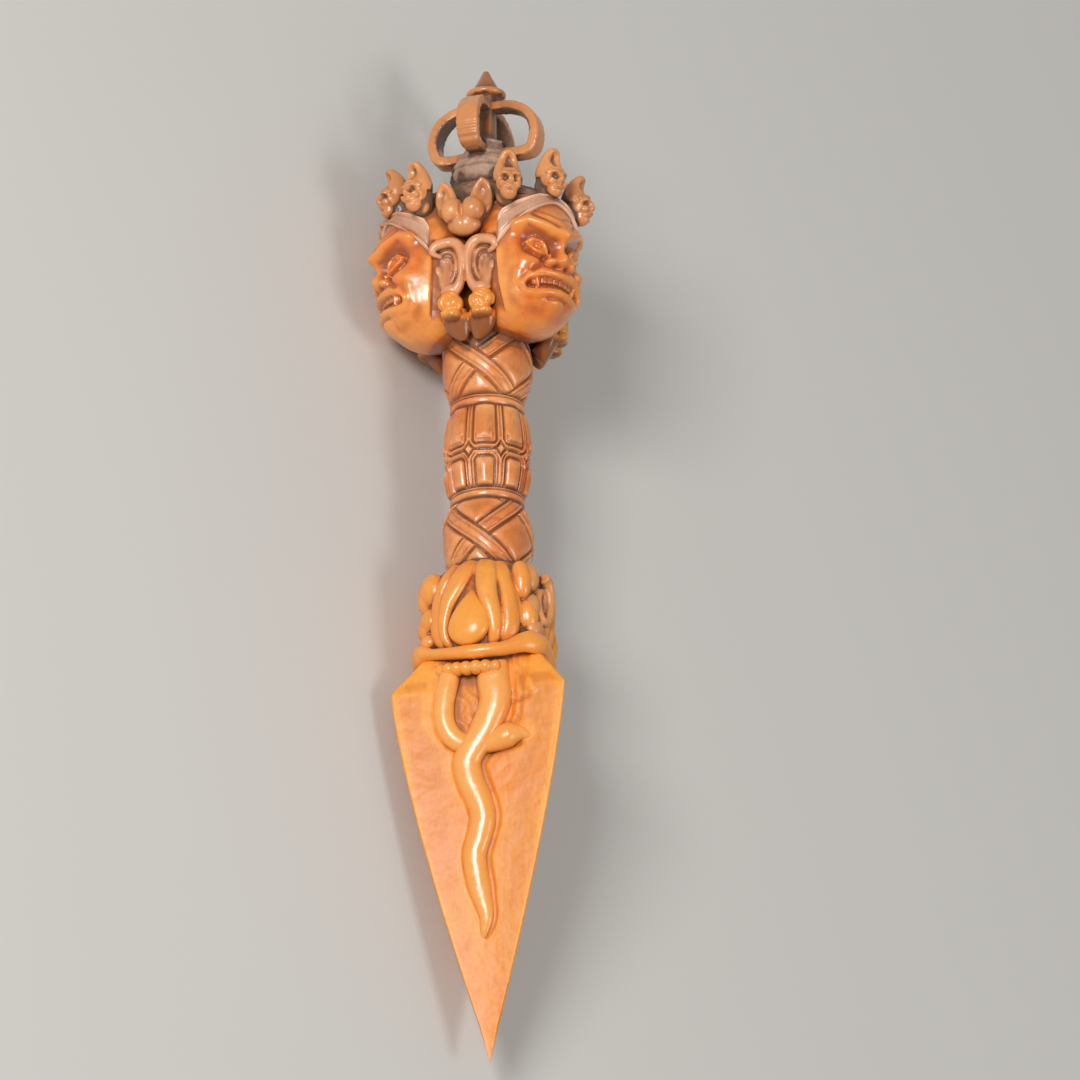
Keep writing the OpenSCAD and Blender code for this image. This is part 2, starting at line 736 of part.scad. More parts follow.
// Finial: hub, square rod, four bowed prongs and a pointed cap
module finial_hub_body() {
    bulb = [for (i = [0:8]) mix(hub_r * 0.9, hub_r * 0.68, i / 8) + hub_r * 0.16 * sin(270 * i / 8)];
    turned(crown_top, hub_top, concat(bulb, [rod_w * 1.1]));
}

module finial_hub() {
    color("#80604e") finial_hub_body();
}

module rod_body() {
    rotate([0, 0, PRONG_AT]) translate([-rod_w / 2, -rod_w / 2, hub_top]) cube([rod_w, rod_w, cap_s - hub_top]);
}

module centre_rod() {
    color("#b87038") rod_body();
}

function bezier(p, t) = pow(1 - t, 3) * p[0] + 3 * t * pow(1 - t, 2) * p[1] + 3 * t * t * (1 - t) * p[2] + pow(t, 3) * p[3];

module prong(k) {
    steps = 12;
    a = PRONG_AT + (k - 1) * 360 / PRONGS;
    foot = [hub_r * 0.5, hub_top - 3.4];
    top = [rod_w / 2 - 0.4, cap_s - 1.4];
    reach = ((prong_r - prong_t / 2) * 8 - foot[0] - top[0]) / 6;
    bow = [foot, [reach, foot[1] - 0.6], [reach, top[1] + 1.2], top];
    path = [for (i = [0:steps]) let (p = bezier(bow, i / steps)) polar(p[0], a, p[1])];
    aside = [cos(a), sin(a), 0];
    color("#cf7e38") seated() {
        bar(path, [for (p = path) aside],
            [for (i = [0:steps]) prong_t / 2],
            [for (i = [0:steps]) mix(rod_w / 2, prong_w / 2, sqrt(sin(180 * i / steps)))]);
        finial_hub_body();
        rod_body();
    }
}

module finial_cap() {
    color("#d8803a") union() {
        turned(cap_s, cap_s + cap_rim_t, [cap_r * 0.92, cap_r, cap_r, cap_r * 0.9]);
        turned(cap_s + cap_rim_t, total_len, [cap_r * 0.8, cap_r * 0.42, 0.3]);
    }
}

// Lays the dagger on its side with its first head upwards. It rests on the bud of its
// lowest flat, and on the nearer outer skull of each of the two lower heads.
bud_rest = [bud_s, bud_seat_r + bud_d / 2];
skull_rest = [skull_foot(1) + skull_h * 0.36, skull_r * cos(TURN / 2 - skull_step) + skull_w / 2];
rest_slope = atan((skull_rest[1] - bud_rest[1]) / (skull_rest[0] - bud_rest[0]));
rest_lift = bud_rest[1] * cos(rest_slope) - bud_rest[0] * sin(rest_slope);

module laid() {
    translate([0, -total_len / 2 * cos(rest_slope), rest_lift])
        rotate([rest_slope - 90, 0, 0]) rotate([0, 0, -HEAD_AT]) children();
}

laid() blade();
for (k = [1:FOLD]) {
    laid() long_serpent(k);
    laid() short_serpent(k);
    laid() bead_band(k);
    laid() bud(k);
    laid() leaves(k);
    laid() scroll(k);
    laid() head(k);
    laid() headband(k);
    laid() ears(k);
    laid() earrings(k);
    laid() skulls(k);
    laid() heart(k);
}
laid() collar();
laid() lip_roll();
laid() knot(collar_top, lower_knot_h);  // lower_knot
laid() knot_straps(collar_top, lower_knot_h);  // lower_straps
laid() ring(lower_ring_s);  // lower_ring
laid() lotus_drum();
laid() drum_petals();
laid() ring(upper_ring_s);  // upper_ring
laid() knot(upper_knot_s, upper_knot_h);  // upper_knot
laid() knot_straps(upper_knot_s, upper_knot_h);  // upper_straps
laid() crown();
laid() finial_hub();
laid() centre_rod();
for (k = [1:PRONGS]) laid() prong(k);
laid() finial_cap();
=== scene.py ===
# %% [markdown]
# A carved boxwood dagger with three edges, two snakes on every flat, a knotted
# grip, three wrathful heads and a half-vajra on top. The whole dagger is cut from
# one block, so nearly everything here is relief: a smooth body first, then the
# carving that stands on it or sinks into it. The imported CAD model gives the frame,
# and every piece made here stands for the CAD node of the same name.

# %% Load the frame
import json
import math
import bpy
import numpy as np
from mathutils import Matrix, Vector

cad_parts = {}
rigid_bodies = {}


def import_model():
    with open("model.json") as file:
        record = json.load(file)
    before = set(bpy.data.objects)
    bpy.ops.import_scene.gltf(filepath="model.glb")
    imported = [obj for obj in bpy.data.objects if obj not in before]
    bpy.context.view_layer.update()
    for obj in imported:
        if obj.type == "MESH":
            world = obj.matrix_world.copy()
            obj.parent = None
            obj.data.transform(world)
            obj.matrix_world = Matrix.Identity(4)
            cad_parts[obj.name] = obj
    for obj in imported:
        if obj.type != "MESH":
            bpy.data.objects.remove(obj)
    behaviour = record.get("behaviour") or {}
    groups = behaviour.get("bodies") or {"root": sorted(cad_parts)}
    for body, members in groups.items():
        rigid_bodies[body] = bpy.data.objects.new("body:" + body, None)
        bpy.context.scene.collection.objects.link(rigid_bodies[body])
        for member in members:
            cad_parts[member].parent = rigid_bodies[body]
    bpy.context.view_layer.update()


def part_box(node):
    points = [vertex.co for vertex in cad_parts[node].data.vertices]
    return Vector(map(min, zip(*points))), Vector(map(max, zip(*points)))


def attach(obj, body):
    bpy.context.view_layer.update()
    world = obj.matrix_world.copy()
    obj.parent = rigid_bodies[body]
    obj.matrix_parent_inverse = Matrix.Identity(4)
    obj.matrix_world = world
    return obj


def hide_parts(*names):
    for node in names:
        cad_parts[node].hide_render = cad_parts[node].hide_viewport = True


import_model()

# %% [markdown]
# A carver holds the dagger upright, so everything is modelled upright too, in
# millimetres: the blade's tip is at height 0 and the long axis is Z. A bearing is
# the compass direction round that axis, in degrees: 0 faces -Y, and it grows
# towards +X. The last step lays each finished mesh down on its side. Where it lies
# is read off the two plain rings of the grip, whose heights are known.

# %% Places on the upright dagger
LOWER_RING_S, UPPER_RING_S, RING_T = 144.0, 168.5, 2.5
TURN, FLAT_AT, HEAD_AT, BLADE_TWIST = 120.0, -17.0, 43.0, 5.0


def box_middle(node):
    low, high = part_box(node)
    return (Vector(low) + Vector(high)) / 2


lower_ring_at, upper_ring_at = box_middle("lower_ring"), box_middle("upper_ring")
along = (upper_ring_at - lower_ring_at).normalized()
tip_at = lower_ring_at - along * (LOWER_RING_S + RING_T / 2) / 1000
slope = math.atan2(along.z, along.y)
laid_turn = Matrix.Rotation(slope - math.pi / 2, 4, "X") @ Matrix.Rotation(-math.radians(HEAD_AT), 4, "Z")
LAID = Matrix.Translation(tip_at) @ laid_turn @ Matrix.Scale(0.001, 4)
print("slope at rest:", round(math.degrees(slope), 2), "degrees; tip at",
      [round(1000 * x, 2) for x in tip_at])


def flat_bearing(k):
    return FLAT_AT + (k - 1) * TURN


def blade_bearing(k):
    return flat_bearing(k) + BLADE_TWIST


def head_bearing(k):
    return HEAD_AT + (k - 1) * TURN


UPWARDS = (0.0, 0.0, 1.0)


def polar(r, bearing, s):
    a = np.radians(bearing)
    return np.stack(np.broadcast_arrays(r * np.sin(a), -r * np.cos(a), s), axis=-1).astype(float)


def gap(a, b, span=360.0):
    """How far bearing a is past b, where the pattern repeats every span degrees."""
    return (a - b + span / 2) % span - span / 2


def mix(a, b, t):
    return a + (b - a) * t


def unit(x):
    """x, kept between 0 and 1."""
    return np.clip(x, 0, 1)


def hump(x, middle, spread):
    return np.exp(-((x - middle) / spread) ** 2)


def thrice(make):
    """The same piece on each of the three sides."""
    return [make(k) for k in (1, 2, 3)]


# %% [markdown]
# The camera stands six metres off with a very long lens, as the photograph's nearly
# parallel outlines ask for. It looks at bearing 0 from 23 degrees below the grip's
# square-on view, with the dagger upright in the picture.

# %% Camera
VIEW_TILT, VIEW_DISTANCE, VIEW_LEAN, LENS = 23.0, 6.0, 0.29, 828
AIM_S, AIM_ASIDE = 136.0, 12.56
facing = laid_turn.to_3x3() @ Vector((0, -1, 0))
tilt = math.radians(VIEW_TILT)
towards_camera = (facing * math.cos(tilt) - along * math.sin(tilt)).normalized()
right = along.cross(towards_camera).normalized()
up = towards_camera.cross(right)
aim = tip_at + along * AIM_S / 1000 + right * AIM_ASIDE / 1000
camera_data = bpy.data.cameras.new("camera")
camera = bpy.data.objects.new("camera", camera_data)
bpy.context.scene.collection.objects.link(camera)
axes = Matrix((right, up, towards_camera)).transposed().to_4x4()
lean = Matrix.Rotation(-math.radians(VIEW_LEAN), 4, towards_camera)
camera.matrix_world = Matrix.Translation(aim + towards_camera * VIEW_DISTANCE) @ lean @ axes
camera_data.sensor_width = 36
camera_data.lens = LENS
camera_data.clip_end = 50
bpy.context.scene.camera = camera

# %% [markdown]
# Three small tools carry the whole model. `sheet` takes Blender's grid primitive
# and moves its points to wherever a formula puts them, which is how a lathe-like
# body gets an outline that changes all the way round. `bar` is a sheet rolled round
# a path, for anything long and bent. `lump` is a sphere primitive at its size and
# place. A sheet whose sides meet is welded there, and its open ends are filled.

# %% Tools: points in and out of a mesh
WELD_GAP = 0.004


def vectors(source, name):
    flat = np.empty(len(source) * 3, dtype=np.float32)
    source.foreach_get(name, flat)
    return flat.reshape(-1, 3).astype(float)


def points_of(piece):
    return vectors(piece.data.vertices, "co")


def normals_of(piece):
    return vectors(piece.data.vertex_normals, "vector")


def move_points(piece, points):
    piece.data.vertices.foreach_set("co", np.asarray(points, dtype=np.float32).ravel())
    piece.data.update()


def bearings_of(points):
    return np.degrees(np.arctan2(points[:, 0], -points[:, 1]))


def radii_of(points):
    return np.hypot(points[:, 0], points[:, 1])


def turned(points, matrix):
    return points @ np.asarray(matrix.to_3x3()).T


def push(piece, amount):
    """Moves every point outwards by its own amount."""
    move_points(piece, points_of(piece) + normals_of(piece) * amount[:, None])


def faces(*pieces):
    return [len(piece.data.polygons) for piece in pieces]


def mark(piece, name, values):
    """Keeps a number for each point of a piece, which its finish reads."""
    layer = piece.data.attributes.new(name, "FLOAT", "POINT")
    layer.data.foreach_set("value", values.astype(np.float32))


def only(piece):
    bpy.ops.object.select_all(action="DESELECT")
    piece.select_set(True)
    bpy.context.view_layer.objects.active = piece


def edit_all(piece, *steps):
    """Runs edit-mode steps, each a mesh operator and its options, on the whole of a piece."""
    only(piece)
    bpy.ops.object.mode_set(mode="EDIT")
    for operator, options in steps:
        bpy.ops.mesh.select_all(action="SELECT")
        operator(**options)
    bpy.ops.object.mode_set(mode="OBJECT")


def weld(piece):
    edit_all(piece, (bpy.ops.mesh.remove_doubles, {"threshold": WELD_GAP}),
             (bpy.ops.mesh.fill_holes, {"sides": 0}),
             (bpy.ops.mesh.normals_make_consistent, {"inside": False}))


# %% Tools: sheet, bar and lump
def sheet(name, columns, rows, place):
    bpy.ops.mesh.primitive_grid_add(x_subdivisions=columns, y_subdivisions=rows, size=1)
    piece = bpy.context.object
    piece.name = name
    spots = points_of(piece) + 0.5
    move_points(piece, place(spots[:, 0], spots[:, 1]))
    weld(piece)
    return piece


def smooth_path(knots, step):
    """Points at a steady step along a curve that passes through the knots."""
    knots = np.asarray(knots, dtype=float)
    ends = np.vstack([2 * knots[0] - knots[1], knots, 2 * knots[-1] - knots[-2]])
    fine = []
    for i in range(1, len(ends) - 2):
        t = np.linspace(0, 1, 24, endpoint=False)[:, None]
        p0, p1, p2, p3 = ends[i - 1:i + 3]
        fine.append(0.5 * (2 * p1 + (p2 - p0) * t + (2 * p0 - 5 * p1 + 4 * p2 - p3) * t ** 2
                           + (3 * p1 - p0 - 3 * p2 + p3) * t ** 3))
    fine = np.vstack(fine + [knots[-1:]])
    run = np.concatenate([[0], np.cumsum(np.linalg.norm(np.diff(fine[:, :3], axis=0), axis=1))])
    even = np.linspace(0, run[-1], max(4, int(run[-1] / step)))
    return np.stack([np.interp(even, run, column) for column in fine.T], axis=1)


def section(u, across, up):
    """A closed outline: a circle at powers of 1, squarer under 1."""
    c, d = np.cos(2 * math.pi * u), np.sin(2 * math.pi * u)
    return np.sign(c) * np.abs(c) ** across, np.sign(d) * np.abs(d) ** up


def bar(name, path, outward, half_w, half_h, around, closed=False, profile=1.0):
    """A bent bar; outward is the way its height points, and a profile under 1 squares its section."""
    n = len(path)
    ahead = np.roll(path, -1, 0) - np.roll(path, 1, 0) if closed else np.gradient(path, axis=0)
    ahead /= np.linalg.norm(ahead, axis=1)[:, None]
    side = np.cross(outward, ahead)
    side /= np.linalg.norm(side, axis=1)[:, None]
    rise = np.cross(ahead, side)
    half_w, half_h = np.broadcast_to(half_w, n), np.broadcast_to(half_h, n)

    def place(u, v):
        i = np.rint(v * (n if closed else n - 1)).astype(int) % n
        c, d = section(u, profile, profile)
        return path[i] + side[i] * (half_w[i] * c)[:, None] + rise[i] * (half_h[i] * d)[:, None]

    return sheet(name, around, n if closed else n - 1, place)


def lump(at, size, turn=Matrix.Identity(3)):
    """A ball of any three sizes, for a pile."""
    bpy.ops.mesh.primitive_uv_sphere_add(segments=32, ring_count=16, radius=0.5)
    piece = bpy.context.object
    points = points_of(piece) * np.asarray(size, dtype=float)
    move_points(piece, turned(points, turn) + np.asarray(at, dtype=float))
    return piece


def facing_out(bearing, roll=0.0):
    """Turns a shape made facing -Y to face a bearing, after a roll about -Y."""
    return Matrix.Rotation(math.radians(bearing), 4, "Z") @ Matrix.Rotation(math.radians(roll), 4, "Y")


# %% [markdown]
# Softer carving, such as an ear or a curl, is first built up from overlapping
# lumps and bars, as in clay. The Remesh modifier turns the pile into one skin, and
# the Smooth modifier rounds off the joins as years of handling do.

# %% Tool: fuse a pile into one skin
def join(name, pile):
    bpy.ops.object.select_all(action="DESELECT")
    for part in pile:
        part.select_set(True)
    bpy.context.view_layer.objects.active = pile[0]
    bpy.ops.object.join()
    pile[0].name = name
    return pile[0]


def fuse(name, pile, voxel, smoothing=2):
    piece = join(name, pile)
    remesh = piece.modifiers.new("one skin", "REMESH")
    remesh.mode = "VOXEL"
    remesh.voxel_size = voxel
    bpy.ops.object.modifier_apply(modifier=remesh.name)
    soften(piece, smoothing)
    return piece


def soften(piece, times, factor=0.5):
    only(piece)
    smooth = piece.modifiers.new("handled", "SMOOTH")
    smooth.iterations = times
    smooth.factor = factor
    bpy.ops.object.modifier_apply(modifier=smooth.name)


def drop_crumbs(piece):
    """Keeps the one skin that the outermost point is on, and drops any bubble sealed inside it."""
    only(piece)
    outermost = int(np.argmax(radii_of(points_of(piece))))
    bpy.ops.object.mode_set(mode="EDIT")
    bpy.ops.mesh.select_mode(type="VERT")
    bpy.ops.mesh.select_all(action="DESELECT")
    bpy.ops.object.mode_set(mode="OBJECT")
    piece.data.vertices[outermost].select = True
    bpy.ops.object.mode_set(mode="EDIT")
    bpy.ops.mesh.select_linked()
    bpy.ops.mesh.select_all(action="INVERT")
    bpy.ops.mesh.delete(type="VERT")
    bpy.ops.object.mode_set(mode="OBJECT")


# %% [markdown]
# Fine carving is drawn as strokes. A stroke is a line of points on the unrolled
# surface, in millimetres sideways and upwards, with a width and a height: positive
# for a ridge that is left standing, negative for a groove that is cut.

# %% Tool: strokes
def distance_to_line(x, y, line):
    """Distance of every point to a line of points, and how far along the line it is nearest."""
    line = np.asarray(line, dtype=float)
    best, place = np.full(x.shape, 1e9), np.zeros(x.shape)
    for i, (p, q) in enumerate(zip(line[:-1], line[1:])):
        dx, dy = q - p
        t = unit(((x - p[0]) * dx + (y - p[1]) * dy) / max(dx * dx + dy * dy, 1e-9))
        d = np.hypot(x - p[0] - t * dx, y - p[1] - t * dy)
        nearer = d < best
        best, place = np.where(nearer, d, best), np.where(nearer, (i + t) / (len(line) - 1), place)
    return best, place


def stroke(x, y, line, height, width):
    """Height that a stroke adds at each point; it has its full height in the middle."""
    height_at = np.zeros(x.shape)
    line = np.asarray(line, dtype=float)
    reach = width * 1.6
    near = ((x > line[:, 0].min() - reach) & (x < line[:, 0].max() + reach)
            & (y > line[:, 1].min() - reach) & (y < line[:, 1].max() + reach))
    height_at[near] = height * hump(distance_to_line(x[near], y[near], line)[0], 0, width / 2)
    return height_at

# %% [markdown]
# The blade is a three-sided wedge. Its flats are faintly hollow, its edges are
# worn round, and above the shoulders it shrinks into the collar. A sheet rolled
# round it has one third of its columns on each flat, so its corners fall on the
# three edges.

# %% Blade: sizes and surface
BLADE_LEN, SHOULDER_TOP, EDGE_R, SHOULDER_R = 92.5, 104.0, 25.2, 15.5
COLLAR_FOOT, COLLAR_TOP, NECK_R, LIP_S, LIP_HALF = 97.0, 128.5, 12.6, 102.6, 1.7
FLAT_HOLLOW, HALF_FLAT = 0.9, math.sin(math.radians(60))


def up_shoulder(s):
    return (s - BLADE_LEN) / (SHOULDER_TOP - BLADE_LEN)


def edge_reach(s):
    wedge = EDGE_R * (1 - unit(1 - s / BLADE_LEN) ** 1.3)
    return np.where(s <= BLADE_LEN, wedge, mix(EDGE_R, SHOULDER_R, up_shoulder(s)))


def flat_depth(s, u):
    reach = edge_reach(s)
    filled = mix(FLAT_HOLLOW, SHOULDER_R / 2 - NECK_R + 0.8, up_shoulder(s))
    hollow = np.where(s <= BLADE_LEN, FLAT_HOLLOW * reach / EDGE_R, filled)
    half = np.maximum(reach * HALF_FLAT, 0.01)
    return reach / 2 - hollow * (1 - np.clip(u / half, -1, 1) ** 2)


def on_flat(k, u, depth, s):
    a = np.radians(blade_bearing(k))
    aside = np.stack(np.broadcast_arrays(np.cos(a), np.sin(a), 0.0), axis=-1)
    return polar(depth, blade_bearing(k), s) + np.asarray(u)[..., None] * aside


# %% [markdown]
# Two snakes lie on every flat. The long one comes out from under the collar's
# beads and winds down to a point; the short one loops under it and ends in a
# leaf-shaped head. Their routes are lists of bends in the flat's own plane. The
# wood right beside a snake is cut a little deeper, which leaves a low ledge that
# follows it.

# %% Snakes: routes
# Each bend: millimetres across the flat from its middle, height on the dagger.
LONG_BENDS = [
    (3.1, 98.6), (3.7, 94), (4, 88.5), (1.1, 81.5), (-2.9, 75), (-2.6, 70), (-0.7, 65), (0.4, 60.5),
    (-0.5, 56), (-1.9, 51.5), (-1.7, 47), (-0.6, 41), (0.4, 36), (-0.2, 32.2), (-0.6, 30.2),
]
SHORT_BENDS = [
    (-6.3, 98.4), (-7.6, 93.5), (-8.5, 88), (-8, 83.2), (-5.5, 79.8), (-1, 78.4), (3.8, 79), (7.6, 80.1),
    (10.4, 80.1), (12.6, 79.2),
]
long_route = smooth_path(LONG_BENDS, 0.35)
short_route = smooth_path(SHORT_BENDS, 0.35)
run = np.linspace(0, 1, len(long_route))
long_half_w = mix(4.05, 2.45, run) * np.sqrt(unit((1 - run) * 5.5)) + 0.05
long_half_h = mix(3.3, 2.0, run) * np.sqrt(unit((1 - run) * 5.0)) * (1 - 0.35 * unit(1 - run * 18)) + 0.05


def on_route(k, route, lift):
    return on_flat(k, route[:, 0], flat_depth(route[:, 1], route[:, 0]) + lift, route[:, 1])


# %% Blade: the wedge with its ledges
# Each stroke: its line of points, height and width.
GOUGE_STROKES = [
    ([(12.4, 93.8), (13.4, 91)], 0.5, 1.3), ([(8.4, 88.6), (12.4, 89.4)], -0.45, 0.8),
    ([(2.6, 76.4), (6, 77.4), (9.6, 77.9)], -0.8, 1.7), ([(-8.2, 80.6), (-5.6, 77.6)], -0.5, 1.6),
]


def blade_relief(u, s):
    """Height added to a flat, from the way it was cut round the snakes."""
    d_long, at_long = distance_to_line(u, s, long_route[::4])
    half = np.interp(at_long, run, long_half_w)
    right_side = unit((u - np.interp(s, long_route[::-1, 1], long_route[::-1, 0])) / 0.8)
    ledge = mix(0.25, 1.35, right_side)
    beside = unit((half + ledge - d_long) / 0.3)
    d_short, at_short = distance_to_line(u, s, short_route[::4])
    beside = np.maximum(beside, 0.6 * unit((3.0 - d_short) / 0.4) * (at_short < 0.9))
    cut = -0.42 * beside * unit((s - 28) / 5)
    between = unit((3.6 - np.abs(u + 2.0)) / 0.5) * unit((s - 81.5) / 2) * unit((101 - s) / 2)
    patch = unit((1.9 - np.abs(u - 9.6 - 0.12 * (s - 92))) / 0.4) * unit((s - 82.5) / 1)
    hatched = np.sin(5.2 * u - 3.1 * s + 1.4 * np.sin(1.7 * s)) * np.sin(1.3 * s + 2.1 * np.sin(0.8 * u))
    gouged = 0.62 + 0.2 * np.sin(2.1 * u + 1.2 * s + 1.5 * np.sin(0.9 * s)) + 0.18 * hatched
    cut = cut - 0.7 * np.maximum(between, 0.75 * patch) * gouged
    return cut + sum(stroke(u, s, *each) for each in GOUGE_STROKES)


def blade_place(u, v):
    s = mix(0.15, SHOULDER_TOP, v ** 1.15)
    third = np.clip(np.floor(u * 3), 0, 2)
    across = (u * 3 - third) * 2 - 1
    across = np.sign(across) * np.abs(across) ** 0.92
    half = edge_reach(s) * HALF_FLAT
    side = across * half
    depth = flat_depth(s, side) + blade_relief(side, s) * unit(s / 20)
    points = np.empty((len(u), 3))
    for k in (1, 2, 3):
        here = third == k - 1
        points[here] = on_flat(k, side[here], depth[here], s[here])
    reach = radii_of(points)
    worn_edge = edge_reach(s) - 0.7 * np.minimum(0.8, 0.3 * half)
    points[:, :2] *= (np.minimum(reach, worn_edge) / np.maximum(reach, 1e-6))[:, None]
    return points


blade = sheet("blade", 3 * 110, 298, blade_place)
soften(blade, 2)
print("blade:", faces(blade), "faces")

# %% Snakes: bodies
def long_snake(k):
    path, out = on_route(k, long_route, -0.3), polar(1.0, blade_bearing(k), 0.0)
    return bar(f"long_serpent_{k}", path, out, long_half_w, long_half_h, around=28, profile=0.9)


def short_snake(k):
    path, out = on_route(k, short_route, -0.2), polar(1.0, blade_bearing(k), 0.0)
    t = np.linspace(0, 1, len(path))
    girth = 1 + 0.22 * hump(t, 0.84, 0.08) - 0.08 * hump(t, 0.66, 0.05)
    girth = girth * np.clip((1.0 - t) / 0.13, 0.02, 1) ** 0.6
    height = girth * (2.4 - 0.5 * hump(t, 0.55, 0.16)) * (1 - 0.35 * unit(1 - t * 14))
    return bar(f"short_serpent_{k}", path, out, girth * 2.65, height, around=28)


long_snakes, short_snakes = thrice(long_snake), thrice(short_snake)
print("snakes:", faces(*long_snakes, *short_snakes))

# %% [markdown]
# The grip is turned work with relief cut into it: two knots of plaited strap, two
# plain rings, and a drum with two rows of lotus petals between them. Each is a
# sheet rolled round the axis, whose radius is the turned body plus the relief at
# that bearing and height. The relief is written on the unrolled surface, in
# millimetres.

# %% Grip: rolled relief
LOWER_KNOT_S, DRUM_S, UPPER_KNOT_S, HEAD_S = 128.5, 146.5, 171.0, 202.0
LOWER_KNOT_H, DRUM_H, UPPER_KNOT_H = 15.5, 22.0, 20.0
GRIP_END_R, KNOT_R, DRUM_R, RING_R = 8.4, 10.6, 10.0, 9.2


def bulge(r, t, power):
    return mix(GRIP_END_R, r, unit(np.sin(math.pi * t)) ** power)


def rolled(name, s0, s1, reach, columns, rows):
    """A closed body round the axis: reach(bearing, height) is its radius."""
    def place(u, v):
        s = mix(s0, s1, v)
        return polar(reach(360 * u, s), 360 * u, s)
    return sheet(name, columns, rows, place)


# %% [markdown]
# The plait of a knot is six straps: three climb to the right and three to the
# left. Where two cross, one runs over the other, and they change places at the
# next crossing. Every strap has a fine raised border along both sides, and the
# four-cornered panels between the straps swell like cushions.

# %% Grip: knots
STRAP_HALF, STRAP_CLIMB = 1.6, 6.6


def strap_profile(d):
    past = np.abs(d) - STRAP_HALF
    body = 0.22 * unit((0.15 - past) / 0.25)
    border, line = 0.26 * hump(past, -0.15, 0.24), 0.24 * hump(past, -0.62, 0.2)
    moat = 0.5 * hump(past, 0.4, 0.34)
    return body + border - line - moat


def plait(a, s, middle, start):
    """Relief of the straps on a knot of the usual radius, and of the panels between them."""
    per_degree = math.radians(1) * KNOT_R
    squeeze = math.cos(math.atan(math.radians(STRAP_CLIMB) * KNOT_R))
    climb = STRAP_CLIMB * (s - middle)
    right_way, left_way = [gap(a, start + way * climb, TURN) * per_degree * squeeze for way in (1, -1)]
    right_over = np.rint(2 * climb / TURN) % 2 == 1
    over, under = np.where(right_over, right_way, left_way), np.where(right_over, left_way, right_way)
    nearest = np.minimum(np.abs(over), np.abs(under)) - STRAP_HALF
    on_over = unit((STRAP_HALF + 0.75 - np.abs(over)) / 0.2)
    panel = 0.45 * (1 - hump(np.maximum(nearest - 0.3, 0), 0, 0.9))
    straps = mix(strap_profile(under), strap_profile(over) + 0.12, on_over)
    return np.where(nearest > 0.75, panel - 0.12, straps)


def knot(name, s0, h, middle, start, seat=0.0):
    """A knot from s0 up; seat is how far its full foot sinks into the collar."""
    def reach(a, s):
        t = (s - s0) / h
        edge = unit(np.minimum(t + seat / h, 1 - t) * h / 1.2)
        full_foot = mix(KNOT_R, GRIP_END_R + 1.4, np.clip(1 - 2 * t, 0, 1.3) ** 2.2)
        body = np.where((t < 0.5) & (seat > 0), full_foot, bulge(KNOT_R, t, 0.7))
        return body - 0.1 + 1.2 * plait(a, s, middle, start) * edge
    piece = rolled(name, s0 - seat, s0 + h, reach, 360, int((h + seat) / 0.18))
    soften(piece, 1)
    return piece


lower_knot = knot("lower_knot", LOWER_KNOT_S, LOWER_KNOT_H, 133.3, FLAT_AT + 1, 2.4)
upper_knot = knot("upper_knot", UPPER_KNOT_S, UPPER_KNOT_H, 179.4, FLAT_AT + 2.5)

# %% Grip: rings
def ring(name, s0):
    foot, top = s0 - 0.4, s0 + RING_T

    def reach(a, s):
        across = (2 * s - foot - top) / (top - foot)
        lip = 0.38 * hump(s, top - 0.34, 0.22) - 0.34 * hump(s, top - 0.78, 0.22)
        round_edge = RING_T / 2 * (0.97 * unit(1 - across ** 2) ** 0.4 - 1)
        return RING_R + round_edge + lip * unit(1 - across ** 4)
    return rolled(name, foot, top, reach, 200, 30)


lower_ring, upper_ring = ring("lower_ring", LOWER_RING_S), ring("upper_ring", UPPER_RING_S)

# %% [markdown]
# The drum's petals hang down in the upper row and stand up in the lower one. A
# rounded rectangle is the nearest plain shape to each petal, and its signed
# distance, negative inside, places every line round it: the cushion inside, then
# one or two thin ridges that follow the outline. A four-pointed boss sits where
# four petals meet.

# %% Grip: lotus drum
PETAL_COUNT, PETAL_AT, PETAL_R, BELT_S = 8, -4.0, 10.6, DRUM_S + DRUM_H * 0.43


def rounded_box(x, y, half_x, half_y, corner):
    """Signed distance to a rounded rectangle."""
    dx, dy = np.abs(x) - half_x + corner, np.abs(y) - half_y + corner
    outside = np.hypot(np.maximum(dx, 0), np.maximum(dy, 0))
    return outside + np.minimum(np.maximum(dx, dy), 0) - corner


def lines_at(distance, *rows):
    """Thin lines that follow an outline; each row says where, how high and how wide."""
    return sum(height * hump(distance, where, width / 2) for where, height, width in rows)


def pillow(distance, height, steep):
    """Swells inside an outline, whose distance is negative there."""
    return height * (1 - np.exp(-np.maximum(-distance, 0) / steep))


